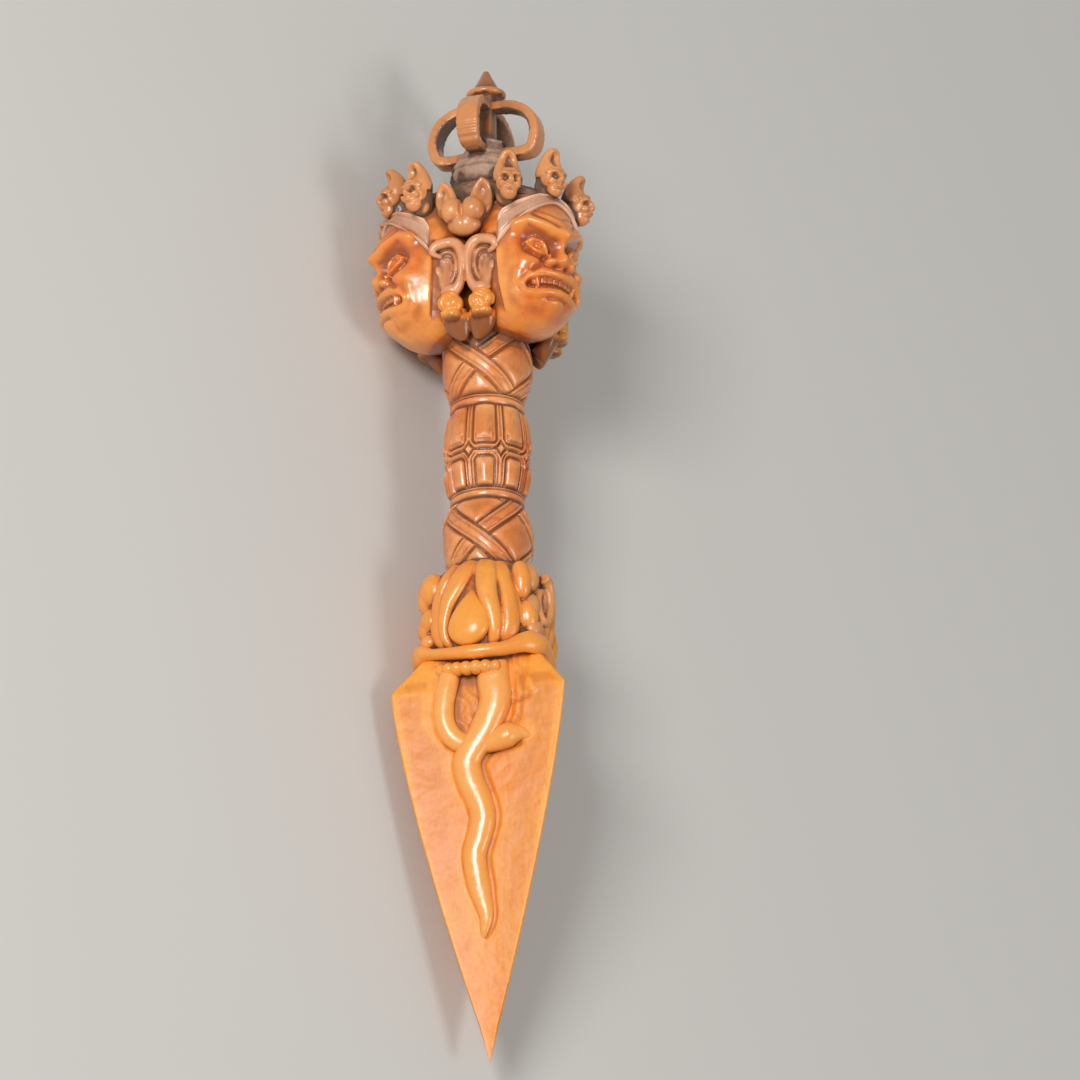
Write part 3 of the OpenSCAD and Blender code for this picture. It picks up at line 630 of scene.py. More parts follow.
def drum_relief(a, s):
    cell, y = 360 / PETAL_COUNT, s - BELT_S
    x, boss_x = [gap(a, at, cell) * math.radians(1) * PETAL_R for at in (PETAL_AT, PETAL_AT + cell / 2)]
    upper = rounded_box(x, y - 8.6, 2.95, 7.0, 0.9)
    lower = rounded_box(x, y + 7.9, 2.45, 6.0, 1.2)
    inner = lines_at(upper, (-0.75, -0.3, 0.42), (-1.2, 0.16, 0.4)) * (y < 4.2)
    up = pillow(upper, 1.0, 1.1) + lines_at(upper, (0.25, -0.45, 0.5), (0.72, 0.42, 0.42)) + inner
    rims = lines_at(lower, (0.25, -0.45, 0.5), (0.7, 0.42, 0.42), (1.1, -0.35, 0.4), (1.5, 0.4, 0.42))
    down = pillow(lower, 1.15, 1.0) + rims
    belt = unit((1.35 - np.abs(y)) / 0.2)
    bands = lines_at(y, (0.75, 0.5, 0.55), (-0.75, 0.5, 0.55), (0, -0.45, 0.7))
    star = (np.abs(boss_x) / 1.35) ** 0.75 + (np.abs(y) / 1.7) ** 0.75
    boss = 0.75 * unit((1 - star) * 3) + lines_at(star, (0, -0.3, 0.6), (1.2, -0.5, 0.3), (1.6, 0.4, 0.3))
    return mix(np.where(y > 0, up, down), bands, belt) * unit((star - 1.1) * 2) + boss


def drum_reach(a, s):
    t = (s - DRUM_S) / DRUM_H
    edge = unit(np.minimum(t, 1 - t) * DRUM_H / 0.9)
    return bulge(DRUM_R - 0.1, t, 0.85) + (0.1 + drum_relief(a, s)) * edge


drum = rolled("lotus_drum", DRUM_S, DRUM_S + DRUM_H, drum_reach, 440, 130)
soften(drum, 1, 0.4)
print("grip:", faces(lower_knot, lower_ring, drum, upper_ring, upper_knot))

# %% [markdown]
# The collar gathers the blade's shoulders into the grip. Its belly is a rolled
# sheet; a rope-like lip waves round its foot and swells where it passes over each
# shoulder, and a row of round beads hangs under the lip. The lip's height and
# thickness come from a few values between one shoulder and the next, repeated
# three times.

# %% Collar: belly, lip and beads
BELLY_S = LIP_S + LIP_HALF / 2
# Each point: height on the dagger, radius.
COLLAR_PROFILE = [
    (102, 12.5), (103.5, 13), (106, 14), (110, 14.5), (116, 14.6), (120.5, 14.2), (123.2, 13.3),
    (124.9, 12.2), (126.2, 10.6), (127.2, 9), (128.5, GRIP_END_R),
]
belly_line = smooth_path([(s, 0, 0, r) for s, r in COLLAR_PROFILE], 0.2)


def collar_reach(s):
    return np.interp(np.clip(s, BELLY_S, COLLAR_TOP), belly_line[:, 0], belly_line[:, 3])


# Each point: bearing from the middle of the flat, height on the dagger, half height, radius.
LIP_KNOTS = [
    (-60, 103.8, 2.6, 17.3), (-54, 103.4, 1.7, 16.7), (-46, 102.6, 1.3, 15.9), (-32, 101.7, 1.4, 15.3),
    (-18, 101.1, 1.6, 15), (-2, 100.8, 1.8, 15), (10, 101, 1.75, 15), (24, 101.4, 1.7, 15.2),
    (34, 102.2, 1.9, 15.8), (42, 103.2, 2.5, 16.8), (50, 103.7, 2.9, 17.3), (60, 103.8, 2.6, 17.3),
]
lip_bearings = np.arange(0, 360, 1.4)
offsets, *lip_columns = np.array(LIP_KNOTS).T
off_middle = gap(lip_bearings, blade_bearing(1), TURN)
lip = np.array([np.interp(off_middle, offsets, column) for column in lip_columns])
for _ in range(3):
    lip = (np.roll(lip, 1, 1) + 2 * lip + np.roll(lip, -1, 1)) / 4
lip_s, lip_half, lip_r = lip
lip_path = polar(lip_r - 0.2, lip_bearings, lip_s)
lip_roll = bar("lip_roll", lip_path, UPWARDS, 1.75, lip_half, around=26, closed=True)


def collar_surface(a, s):
    x = a * 0.26  # about millimetres, as a degree is 0.26 mm here
    rough = 0.08 * np.sin(3.1 * x + 1.3 * s) * np.sin(2.3 * s - 0.7 * x)
    return np.where(s < BELLY_S, NECK_R, collar_reach(s)) + rough * unit((s - COLLAR_FOOT) / 2)


collar = rolled("collar", COLLAR_FOOT, COLLAR_TOP, collar_surface, 300, 110)


def beads(k):
    pitch, first, last = 9.6, -48.0, 30.0
    offset = np.arange(first, last, 0.6)
    swell = 0.74 + 0.26 * np.abs(np.sin(math.pi * (offset - first) / pitch)) ** 0.8
    ends = np.clip(np.minimum(offset - first, last - offset) / 4.0, 0.1, 1) ** 0.5
    drop = 97.0 + 1.6 * unit(-offset / 45) ** 1.5
    path = polar(NECK_R + 1.5, flat_bearing(k) + offset, drop)
    return bar(f"bead_band_{k}", path, UPWARDS, 2.1 * swell * ends, 1.75 * swell * ends, around=22)


bead_bands = thrice(beads)
print("collar, lip and beads:", faces(collar, lip_roll, bead_bands[0]))

# %% [markdown]
# Over every flat a drop-shaped bud stands on the lip, clasped by leaves: two
# crescents on its left, and two long ribbons on its right. Next come two plump
# lobes, and over the shoulder a scroll whose hollow was left rough. A leaf is a bar
# with a centre line, a half width and a height at each of its points, given as
# bearing from the flat and height on the dagger.

# %% Collar: buds
def bud(k):
    base, top, seat = 102.6, 118.0, 13.9

    def place(u, v):
        v = unit(v)
        full = unit(np.sin(math.pi * v ** 0.66)) ** 0.92
        c, d = section(u, 0.85, 0.62)
        bearing = flat_bearing(k) - 3.5 + 5.5 * v + np.degrees(full * 5.35 * c / 14.6)
        return polar(seat + full ** 0.8 * 3.1 * d, bearing, mix(base, top, v))

    return sheet(f"bud_{k}", 48, 60, place)


buds = thrice(bud)

# %% Collar: leaves and lobes
# Each point: bearing from the flat, height on the dagger, half width, height above the collar.
LEAVES = [
    [(-1, 125.4, 1.5, 0.8), (-5, 123, 2.15, 1.6), (-14, 119, 2.35, 2.1), (-23, 114.5, 2, 2.3),
     (-28, 109.6, 1.55, 2.2), (-28.2, 106, 1.2, 1.9), (-24, 103.4, 0.8, 1.2)],
    [(-22, 125, 1, 0.9), (-27, 122, 1.4, 1.5), (-34.5, 117.6, 1.65, 1.9), (-38.5, 112.5, 1.75, 2),
     (-40, 108, 1.75, 1.9), (-36, 104.6, 1.3, 1.3), (-30, 103, 0.8, 0.9)],
    [(16, 125.6, 1.8, 0.8), (15, 122.8, 2.35, 1.6), (15, 118.8, 2.4, 2.2), (17, 114.8, 2.3, 2.4),
     (21.6, 110.4, 1.95, 2.3), (23.2, 106.8, 1.65, 2.1), (22, 103.2, 1.3, 1.3)],
    [(31, 125.4, 1.3, 0.6), (32, 122.4, 1.6, 1.2), (34, 118.4, 1.75, 1.7), (36.8, 114.3, 1.95, 2),
     (38.6, 109.5, 2.15, 2.1), (38, 106, 2.1, 1.8), (35, 103.4, 1.6, 1.1)],
    [(41.5, 120.5, 0.3, 0.8), (43.5, 117, 0.65, 1.2), (47.5, 113, 0.7, 1.3),
     (52, 109.6, 0.8, 1.3), (57, 107.6, 0.6, 0.9)],
]
LOBES = [(50.5, 120.2, 14.3, 5.2, 5.6, 10.4, -6), (58.5, 111.6, 14.3, 5.2, 5.6, 9, -10)]


def leaf(k, knots):
    per_degree = 0.27  # millimetres round the collar
    x, s, half_w, height = smooth_path([(b * per_degree, s, w, h) for b, s, w, h in knots], 0.4).T
    bearings = flat_bearing(k) + x / per_degree
    path = polar(collar_reach(s) - 0.35, bearings, s)
    half_w, height = np.maximum(1.1 * half_w, 0.15), np.maximum(height, 0.15)
    return bar("leaf", path, polar(1.0, bearings, 0.0), half_w, height, around=26, profile=0.82)


def curls(at, rows):
    """Lumps round a bearing; each row: bearing from at, height, radius, width, depth, tallness, roll."""
    return [lump(polar(r, at + offset, s), size, facing_out(at + offset, roll))
            for offset, s, r, *size, roll in rows]


def leaves(k):
    return fuse(f"leaves_{k}", [leaf(k, knots) for knots in LEAVES] + curls(flat_bearing(k), LOBES), 0.24)


all_leaves = thrice(leaves)

# %% Collar: scrolls over the shoulders
# The carver left the scroll's hollow out on the third shoulder and put plain curls there.
PLAIN_CURLS = [
    (11, 120, 14.4, 8.2, 6.4, 9, 0), (3.5, 118, 14.6, 6, 6, 8, 0), (10.5, 112.2, 14.7, 6.2, 5.6, 6.6, 0),
    (3, 110.2, 14.9, 5.6, 5.4, 6, 0), (8, 106.6, 15, 5.4, 4.8, 4.6, 0),
]
SCROLL_CURLS = [
    (14, 115.2, 13.6, 6.4, 3.2, 12, 0), (-1, 121.2, 14.6, 5.4, 5, 7.6, 0), (0.5, 114, 14.8, 4.6, 5, 6.6, 0),
    (4, 108.2, 15, 5.4, 4.4, 5, 0),
]


def scroll(k):
    a = head_bearing(k)
    if k == 3:
        return fuse(f"scroll_{k}", curls(a, PLAIN_CURLS), 0.26)
    turn = np.linspace(0, 1, 110)
    wind = np.radians(100 - 560 * turn)
    open_by = mix(1.0, 0.28, turn ** 0.8)
    path = polar(16.3 - 1.6 * turn, a + 13.5 + 12.0 * open_by * np.cos(wind),
                 115.4 + 6.6 * open_by * np.sin(wind))
    volute = bar("volute", path, path * [1, 1, 0], mix(1.35, 0.6, turn), mix(1.7, 0.9, turn), around=18)
    piece = fuse(f"scroll_{k}", [volute] + curls(a, SCROLL_CURLS), 0.26)
    drop_crumbs(piece)
    return piece


scrolls = thrice(scroll)
print("ornaments:", faces(buds[0], all_leaves[0], scrolls[0]))

# %% [markdown]
# The three heads are one design, turned by a third of a circle. They show a
# wrathful protector of the traditional kind: knotted brows, round eyes, a broad
# nose and an open mouth with bared teeth. The skull is a smooth upright egg, and
# the face is relief on it, mirrored left and right. Its map is unrolled too:
# `x` runs from the nose round the cheek and `z` from the middle of the head up.

# %% Heads: the egg and the face
HEAD_OFF, HEAD_HALF_W, HEAD_HALF_D, HEAD_HALF_H, CHIN_DROP, CROWN_S = 13.4, 12.9, 12.7, 19.5, 17.0, 219.0


def girth_at(z):
    share = unit(np.where(z > 0, z / HEAD_HALF_H, -z / CHIN_DROP))
    power = np.where(z > 0, 3.4, 2.5)
    return (1 - share ** power) ** (1 / power)


def mound(x, z, at_x, at_z, half_x, half_z, height, power=2.0):
    away = ((x - at_x) / half_x) ** 2 + ((z - at_z) / half_z) ** 2
    return height * np.exp(-away ** (power / 2))


def slanted(x, z, at_x, at_z, lean):
    """Places about a feature's own middle, in a frame that leans by an angle."""
    c, n = math.cos(math.radians(lean)), math.sin(math.radians(lean))
    return (x - at_x) * c + (z - at_z) * n, (z - at_z) * c - (x - at_x) * n


def mouth_middle(x):
    return -7.15 - 0.012 * x ** 2


def teeth(x, z, inside):
    """Two rows of worn teeth that nearly fill the mouth, and a fang at each end of the upper row."""
    above = z - mouth_middle(x)
    between = np.abs((x / 1.75) % 1 - 0.5) * 2
    rounded = unit((1 - between) / 0.28) ** 0.5
    row = (0.45 + 0.55 * rounded) * (1 - hump(above, -0.35, 0.22)) * unit((8.2 - x) / 0.8)
    fang = unit(1 - np.abs(x - 6.1 - 0.2 * above) / 0.85) ** 0.5 * unit((above + 1.5) / 0.5)
    return inside * np.maximum(1.25 * row, 1.75 * fang)


# %% Heads: strokes and mounds of a face
# Each stroke: its line of points, height and width.
FACE_STROKES = [
    ([(0, 5.3), (2.6, 5.6), (5.2, 7), (8.6, 8.5), (11.5, 7.6)], 1.5, 3.2),  # the brow
    ([(7.2, 10.4), (4.4, 8.8), (2, 7.2)], -0.75, 1.5),
    ([(0, 9.4), (3.2, 10.6), (7, 11.6)], -0.3, 1),
    ([(1.6, 3.7), (3.8, 4.9), (5.8, 5.8), (8.3, 7)], -0.45, 0.9),
    ([(3.3, -0.2), (3.9, 1.6), (5, 3.5), (6.6, 4.4), (8, 4), (9.3, 2.9)], 0.95, 1),  # the eyelids
    ([(3.3, -0.2), (5.3, -0.3), (7, 0.4), (8.3, 1.6), (9.3, 2.9)], 0.75, 0.9),
    ([(3, -0.9), (5.5, -1.3), (8, -0.6), (9.8, 1.2)], -0.3, 0.9),
    ([(0, 4), (0, 0.4)], 1.1, 3),  # the nose
    ([(3.9, -0.3), (4.8, -1.6), (4.3, -3.1)], -0.6, 0.8),
    ([(0.8, -3.4), (3.4, -3.2)], -0.4, 0.7),
    ([(4.6, -0.6), (5.6, -2.8), (7.4, -4.7)], -0.75, 1.5),
    ([(0, -5), (2.8, -4.8), (5.4, -4.7), (8, -5.6), (10, -7.8)], 0.7, 1.6),  # the lips
    ([(0, -9.5), (3.4, -9.8), (6.6, -10.4), (9.2, -10.1), (10, -8.8)], 0.6, 1.6),
    ([(11, -5.2), (12, -9.4), (9.7, -11.8), (5.4, -12.2)], 0.45, 2.6),  # the jaw
    ([(0, -10.9), (3, -11.1)], -0.45, 1),
]
# Each mound: its place, its half sizes and its height.
FACE_MOUNDS = [
    (0, 7.6, 6.5, 3.4, 2), (0, 5.6, 1.9, 1.5, 0.35), (2.7, 1.2, 1.5, 1.9, -0.8),  # forehead, eye's corner
    (0, -1.2, 2.2, 1.9, 2.1), (3.1, -1.8, 1.5, 1.35, 1.75), (1.5, -3, 0.75, 0.55, -1),  # nose, nostrils
    (8.8, -2.3, 3.4, 2.6, 1.35), (0, -12.7, 3.7, 2.5, 1.25),  # cheeks and chin
]


def face_relief(x, z):
    x = np.abs(x)
    relief = sum(stroke(x, z, *each) for each in FACE_STROKES)
    relief += sum(mound(x, z, *each) for each in FACE_MOUNDS)
    sx, sz = slanted(x, z, 6.2, 2.3, 20)
    relief -= 2.3 * np.exp(-((sx / 4.6) ** 2 + (sz / 3.1) ** 2) ** 1.5)
    sx, sz = slanted(x, z, 6.2, 1.9, 29)
    relief += 2.5 * np.sqrt(unit(1 - (sx / 3.15) ** 2 - (sz / 2.0) ** 2))
    relief += lines_at(np.hypot(x - 6.1, z - 2.3), (1.0, -0.35, 0.56), (0, -0.35, 0.8))
    relief += 0.95 * np.exp(-((x / 11.3) ** 2 + ((z + 8.4) / 4.7) ** 2) ** 2.2)
    tall = 1.35 + 0.055 * x
    inside = unit(4 * (1 - (x / 9.4) ** 4 - ((z - mouth_middle(x)) / tall) ** 2))
    relief += teeth(x, z, inside) - 2.1 * inside
    step = unit((x - 16.4 - 0.05 * (z + 8)) / 0.5) * unit((z + 14) / 3) * unit((7 - z) / 2)
    hair = unit((z - 14.6 + 9.6 * (x / 16) ** 2) / 0.5)
    return relief * (1 - hair) - 1.0 * step


# %% Heads: three skins
def off_egg(k, turn, z, height, drift=0.0):
    """Points at a height off a head's egg, moved up by drift; turn is the angle from its nose."""
    g, angle = girth_at(z), np.radians(turn)
    x, y = (HEAD_HALF_W * g + height) * np.sin(angle), -(HEAD_HALF_D * g + height) * np.cos(angle)
    return turned(np.stack([x, y, z + drift], axis=-1) + [0, -HEAD_OFF, HEAD_S], facing_out(head_bearing(k)))


def keep_wedge(piece, k):
    """Trims a head's piece along the two planes through the axis where it meets the other heads."""
    for side in (-1, 1):
        a = math.radians(head_bearing(k) + side * TURN / 2)
        outside = (side * math.cos(a), side * math.sin(a), 0)
        edit_all(piece, (bpy.ops.mesh.bisect, {"plane_co": (0, 0, 0), "plane_no": outside, "use_fill": True,
                                               "clear_outer": True}))


def head(k):
    def place(u, v):
        t = 2 * u - 1
        turn = 180 * np.sign(t) * np.abs(t) ** 1.35
        z = mix(-CHIN_DROP * 0.998, CROWN_S - HEAD_S, v)
        height = face_relief(np.radians(turn) * HEAD_HALF_W, z) * unit((150 - np.abs(turn)) / 20)
        return off_egg(k, turn, z, height)
    piece = sheet(f"head_{k}", 300, 200, place)
    keep_wedge(piece, k)
    soften(piece, 1, 0.35)
    return piece


heads = thrice(head)
print("head:", faces(heads[0]), "faces")

# %% [markdown]
# A folded band arches over each forehead from ear to ear: a broad soft strip with
# a thin cord along both borders. One sheet rolled round its own section makes it,
# with the head's surface as its bed.

# %% Heads: bands
def band_foot(turn):
    return 14.3 - 6.2 * (np.abs(turn) / 50) ** 1.6


def band_top(turn):
    return np.interp(np.abs(turn), [0, 22, 35, 51, 67, 76, 88], [16.9, 16.8, 15.6, 14.2, 12.3, 9.0, 4.0])


def headband(k):
    def place(u, v):
        turn = mix(-73, 73, v)
        c, d = section(u, 0.7, 1.0)
        share = 0.5 + 0.5 * c
        cords = lines_at(share, (0.1, 0.55, 0.14), (0.93, 0.55, 0.12), (0.23, -0.22, 0.1), (0.8, -0.22, 0.1))
        slack = 0.1 * np.sin(turn / 7.0) * hump(share, 0.5, 0.3)
        rise = np.where(d > 0, 0.5 * np.abs(d) ** 0.5 + cords + slack, -0.6 * np.abs(d))
        rise *= np.clip((73.5 - np.abs(turn)) / 4, 0.1, 1) ** 0.5
        return off_egg(k, turn, mix(band_foot(turn), band_top(turn), share), rise, 0.25 * rise)
    piece = sheet(f"headband_{k}", 56, 130, place)
    keep_wedge(piece, k)
    x, y, z = (turned(points_of(piece), facing_out(-head_bearing(k))) + [0, HEAD_OFF, -HEAD_S]).T
    turn = np.degrees(np.arctan2(x / HEAD_HALF_W, -y / HEAD_HALF_D))
    share = (z - band_foot(turn)) / (band_top(turn) - band_foot(turn))
    mark(piece, "patina_and_shade", 0.4 * hump(share, 0.52, 0.26))
    return piece


headbands = thrice(headband)

# %% [markdown]
# In the valley between two heads stand two long-lobed ears, back to back. Each is
# a curled outer rim, a finer inner fold, a small flap towards the face and a
# hanging lobe. `p` points to the ear's own face and `q` upwards.

# %% Ears
# An ear's height, its bearing from the valley's middle and its degrees to a millimetre; then the
# radius of the valley's floor, and how sharply that meets the side of a head.
EAR_S, EAR_OFFSET, EAR_DEGREES, VALLEY_R, BLEND = 201.2, 12.9, 2.95, 17.5, 1.2


def post_reach(away, off, r):
    """Distance from the axis to the far side of a post of radius r whose middle is off the axis."""
    a = np.radians(away)
    return off * np.cos(a) + np.sqrt(np.maximum(r * r - (off * np.sin(a)) ** 2, 0.01))


def ear_bed(offset):
    """Radius that an ear lies on: the valley's floor near its middle, and the head's side further out."""
    side = post_reach(TURN / 2 - offset, HEAD_OFF, HEAD_HALF_W) - 0.2
    return np.log(np.exp(VALLEY_R * BLEND) + np.exp(side * BLEND)) / BLEND


def on_ear(k, side, p, q, lift=0.0):
    offset = EAR_OFFSET + p * EAR_DEGREES
    return polar(ear_bed(offset) + lift, flat_bearing(k) + side * offset, EAR_S + q)


def ear_line(k, side, knots, around=16, profile=1.0):
    p, q, half_w, height, lift = smooth_path(knots, 0.35).T
    path = on_ear(k, side, p, q, lift)
    out = np.cross(on_ear(k, side, p + 0.1, q, lift) - path, [0.0, 0.0, -side])
    return bar("ear", path, out, half_w, height, around=around, profile=profile)


# Each point: across, up, half width, height, lift.
RIM = [
    (2, 2.6, 0.5, 0.7, -0.6), (3.4, 3.6, 0.9, 1.1, -0.1), (2.6, 5.3, 1.3, 1.5, 0.2),
    (-0.2, 6.2, 1.5, 1.7, 0.3), (-2.4, 5.2, 1.5, 1.8, 0.3), (-3.5, 2.6, 1.35, 1.8, 0.2),
    (-3.6, -0.2, 1.15, 1.7, 0.1), (-3.3, -2.8, 1, 1.6, 0), (-2.5, -5, 1.2, 1.5, 0),
    (-0.8, -6.6, 1.6, 1.5, -0.1),
]
FOLD_LINE = [
    (2.2, 3.3, 0.35, 0.6, -0.5), (0.9, 3.9, 0.5, 0.9, -0.3), (-0.7, 3.5, 0.55, 1, -0.2),
    (-1.6, 1.9, 0.55, 1, -0.2), (-1.7, -0.4, 0.5, 1, -0.2), (-1.2, -2.6, 0.5, 0.9, -0.3),
    (0, -4.2, 0.4, 0.8, -0.4),
]
INNER_LINE = [
    (1.5, 2, 0.3, 0.6, -0.7), (0.5, 2.1, 0.4, 0.7, -0.6), (-0.2, 0.9, 0.4, 0.8, -0.6),
    (-0.2, -1, 0.4, 0.8, -0.6), (0.4, -2.5, 0.3, 0.6, -0.7),
]
FLAP = [
    (3.2, 0.6, 0.3, 0.4, -1.3), (2.9, -0.4, 0.9, 0.8, -1.2), (2.7, -1.6, 0.9, 0.8, -1.2),
    (2.6, -2.6, 0.3, 0.4, -1.4),
]
BOWL = [
    (0.2, 5.2, 2.4, 0.9, -0.9), (0, 3, 3.5, 0.9, -1.1), (0, 0, 3.6, 0.9, -1.3), (0.1, -3, 3.2, 0.9, -1),
    (0, -5.6, 2.4, 1.1, -0.6),
]


def ears(k):
    pile = []
    for side in (-1, 1):
        lobe_turn = facing_out(flat_bearing(k) + side * EAR_OFFSET)
        pile += [ear_line(k, side, knots) for knots in (RIM, FOLD_LINE, INNER_LINE, FLAP)]
        pile += [ear_line(k, side, BOWL, 28, 0.6),
                 lump(on_ear(k, side, 0.0, -6.2), (4.8, 2.8, 3.2), lobe_turn)]
    return fuse(f"ears_{k}", pile, 0.22)


all_ears = thrice(ears)

# %% Earrings: a curled tuft under each lobe, which ends in a thick lock
# Each curl: bearing from the middle of the valley, height, width, tallness.
TUFT = [
    (13.2, 193.4, 4.6, 3.6), (8.4, 191.4, 3.8, 4.4), (17.6, 192, 3.6, 4), (13, 191, 3.8, 3.6),
    (10.2, 188.6, 3.6, 3.2), (15.4, 188.9, 3.4, 3.2),
]
# Each point: bearing from the middle of the valley, height, half width, radius.
LOCK = [
    (13.4, 190.2, 3.2, 15.6), (12.8, 188.4, 3.4, 14.9), (11.4, 186.8, 3.1, 14), (9.6, 185.4, 2.2, 13),
    (8.6, 184.6, 1, 12.2),
]


def tress(k, side, knots, thick, around, profile=1.0):
    """A bar on one side of a valley, at the radius that its points give."""
    offset, s, half_w, r = smooth_path(knots, 0.4).T
    path = polar(r, flat_bearing(k) + side * offset, s)
    return bar("tress", path, path * [1, 1, 0], half_w, thick, around=around, profile=profile)


def earrings(k):
    at, pile = flat_bearing(k), []
    for side in (-1, 1):
        turn = facing_out(at + side * 12)
        pile += [lump(polar(17.6, at + side * offset, s), (wide, 4.2, tall), turn)
                 for offset, s, wide, tall in TUFT]
        pile.append(tress(k, side, LOCK, 2.3, 18, 0.8))
    piece = fuse(f"earrings_{k}", pile, 0.26)
    points, per_degree = points_of(piece), 0.31
    x, z = gap(bearings_of(points), at) * per_degree, points[:, 2]
    ripples = np.sin(4.62 * np.hypot(np.abs(x) - 3.9, z - 191.5) + 1.5 * np.sin(1.7 * x))
    push(piece, 0.12 * ripples * unit(z - 188.4) * unit(195.5 - z))
    # The lock under each tuft is painted dark reddish brown: partly patina, partly painted shadow under the
    # tuft.
    mark(piece, "patina_and_shade", unit((188.6 - z) / 1.2))
    return piece


all_earrings = thrice(earrings)
print("ears, earrings and band:", faces(all_ears[0], all_earrings[0], headbands[0]))

# %% [markdown]
# The crown joins the heads and was left from the gouge. On its rim stand nine
# small skulls with hooked, hollow caps, and a pair of smooth balls between two
# leaf-like tongues fills each valley.

# %% Crown: the joined tops of the heads
def gouges(a, s, r):
    """Short uneven chisel facets, about 2 mm long, on a body of radius r that closes on itself."""
    turn = np.radians(a)
    n1, n2, n3 = [int(round(r * share)) for share in (1.3, 0.8, 2.4)]
    fewer = n2 / 2 if n2 % 2 == 0 else n2
    slow = np.sin(n2 * turn + 1.9 * np.sin(0.9 * s)) * np.sin(1.5 * s + 1.6 * np.sin(fewer * turn))
    quick = np.sin(n1 * turn + 2.2 * s) * np.sin(2.7 * s - 3 * turn)
    fine = np.sin(n3 * turn - 4.1 * s + 1.3 * np.sin(2.0 * s))
    return 0.3 * slow + 0.2 * quick + 0.1 * fine


CROWN_TOP, HUB_R, HUB_TOP, ROD_W, CAP_S, TOTAL = 228.0, 8.8, 240.0, 4.4, 252.6, 260.0


def crown_reach(a, s):
    t = unit((s - CROWN_S) / (CROWN_TOP - CROWN_S)) ** 1.25
    plain = post_reach(gap(a, HEAD_AT, TURN), HEAD_OFF * 0.9 * (1 - t),
                       mix(HEAD_HALF_W * 0.84, HUB_R * 0.9, t))
    return plain + 0.8 * gouges(a, s, 22.0) * unit((s - CROWN_S) / 1.5)


crown = rolled("crown", CROWN_S, CROWN_TOP, crown_reach, 320, 40)


# %% Crown: skulls
SKULL_R = 23.3
# Each lump: its place and its size.
SKULL_LUMPS = [
    ((0, 0, 5), (5.9, 6.4, 7.4)), ((0, -0.7, 2.4), (4.2, 4.8, 4.6)), ((0, 2.2, 3.4), (5.4, 6, 8.6)),
    ((-1.8, -1.9, 3.6), (2.1, 2, 1.8)), ((1.8, -1.9, 3.6), (2.1, 2, 1.8)), ((0, -2.3, 6.2), (5, 2, 1.4)),
    ((0, -3, 4.4), (1.3, 1.9, 2.6)),
]
# Each point: place, half width, half depth.
SKULL_CAP = [
    (0, 1, 5.6, 3.2, 3.4), (0, 0.9, 7.4, 3.4, 3.4), (0, 0.7, 9.2, 3, 2.8), (0, 0.2, 10.7, 2.45, 2.15),
    (0, -0.5, 11.9, 1.9, 1.6), (0, -1, 12.7, 1.35, 1.15), (0, -1.2, 13.1, 0.5, 0.45),
]


def skull(k, step):
    """One skull, made facing -Y about its own middle, then put on its bearing."""
    cap = smooth_path(SKULL_CAP, 0.4)
    x = np.linspace(-3.0, 3.0, 20)
    brim = np.stack([x, -2.5 + 0.25 * np.abs(x) ** 1.5, 7.5 - 0.28 * np.abs(x) ** 1.6], axis=1)
    pile = [lump(*each) for each in SKULL_LUMPS]
    pile.append(bar("cap", cap[:, :3], (0.0, -1.0, 0.0), cap[:, 3], cap[:, 4], around=24))
    pile.append(bar("brim", brim, (0.0, -1.0, 0.2), 0.45, 0.6, around=12))
    piece = fuse("skull", pile, 0.22, 4)
    x, y, z = points_of(piece).T
    socket = np.hypot(np.abs(x) - 1.45, z - 4.9)
    cut = 0.35 * hump(socket, 1.25, 0.35) - 1.0 * np.exp(-(socket / 0.85) ** 4)
    cut += mound(x, z, 0, 2.0, 1.5, 0.32, -0.6) + mound(x, z, 0, 10.0, 1.6, 1.9, -1.6, 4.0)
    push(piece, cut * unit(-normals_of(piece)[:, 1] * 1.6))
    foot = CROWN_S - 0.6 - 2.8 * abs(step)
    turn = facing_out(head_bearing(k) + 30 * step)
    move_points(piece, turned(points_of(piece) + [0, -SKULL_R, foot], turn))
    return piece


def skulls(k):
    return join(f"skulls_{k}", [skull(k, step) for step in (-1, 0, 1)])


all_skulls = thrice(skulls)

# %% Crown: hearts
# Lumps as in curls: two balls, their stems and a foot. A tongue's points are as in LOCK.
HEART_LUMPS = [
    (-7.4, 215, 19.3, 6.1, 7, 6.6, 0), (7.4, 215, 19.3, 6.1, 7, 6.6, 0), (-7, 214, 16.4, 6, 8, 7, 0),
    (7, 214, 16.4, 6, 8, 7, 0), (0, 211.9, 17.9, 8.6, 6.4, 6.2, 0),
]
TONGUE = [
    (8.5, 213, 2, 17.8), (12, 215.6, 2.9, 18.4), (14, 218.2, 3, 18.9), (14.3, 220.4, 2.5, 19.2),
    (14, 221.9, 1.7, 19.2), (13.6, 222.7, 0.5, 19.1),
]


def heart(k):
    at = flat_bearing(k)
    tongues = [tress(k, side, TONGUE, 1.7, 24) for side in (-1, 1)]
    piece = fuse(f"heart_{k}", curls(at, HEART_LUMPS) + tongues, 0.24)
    points, per_degree = points_of(piece), 0.33
    x, z = gap(bearings_of(points), at) * per_degree, points[:, 2]
    cut = mound(np.abs(x), z, 4.75, 219.2, 1.7, 2.3, -1.4, 4.0) + mound(x, z, 0, 214.6, 0.35, 3.0, -0.5)
    push(piece, cut * unit(radii_of(points) - 17.5))
    return piece


hearts = thrice(heart)
print("crown, skulls and heart:", faces(crown, all_skulls[0], hearts[0]))

# %% [markdown]
# The finial is half a vajra: a rough bulb, a square rod, four bowed prongs and a
# pointed cap. The prongs were cut square and their corners have worn round, which
# a bar gives when its section's power is under one.

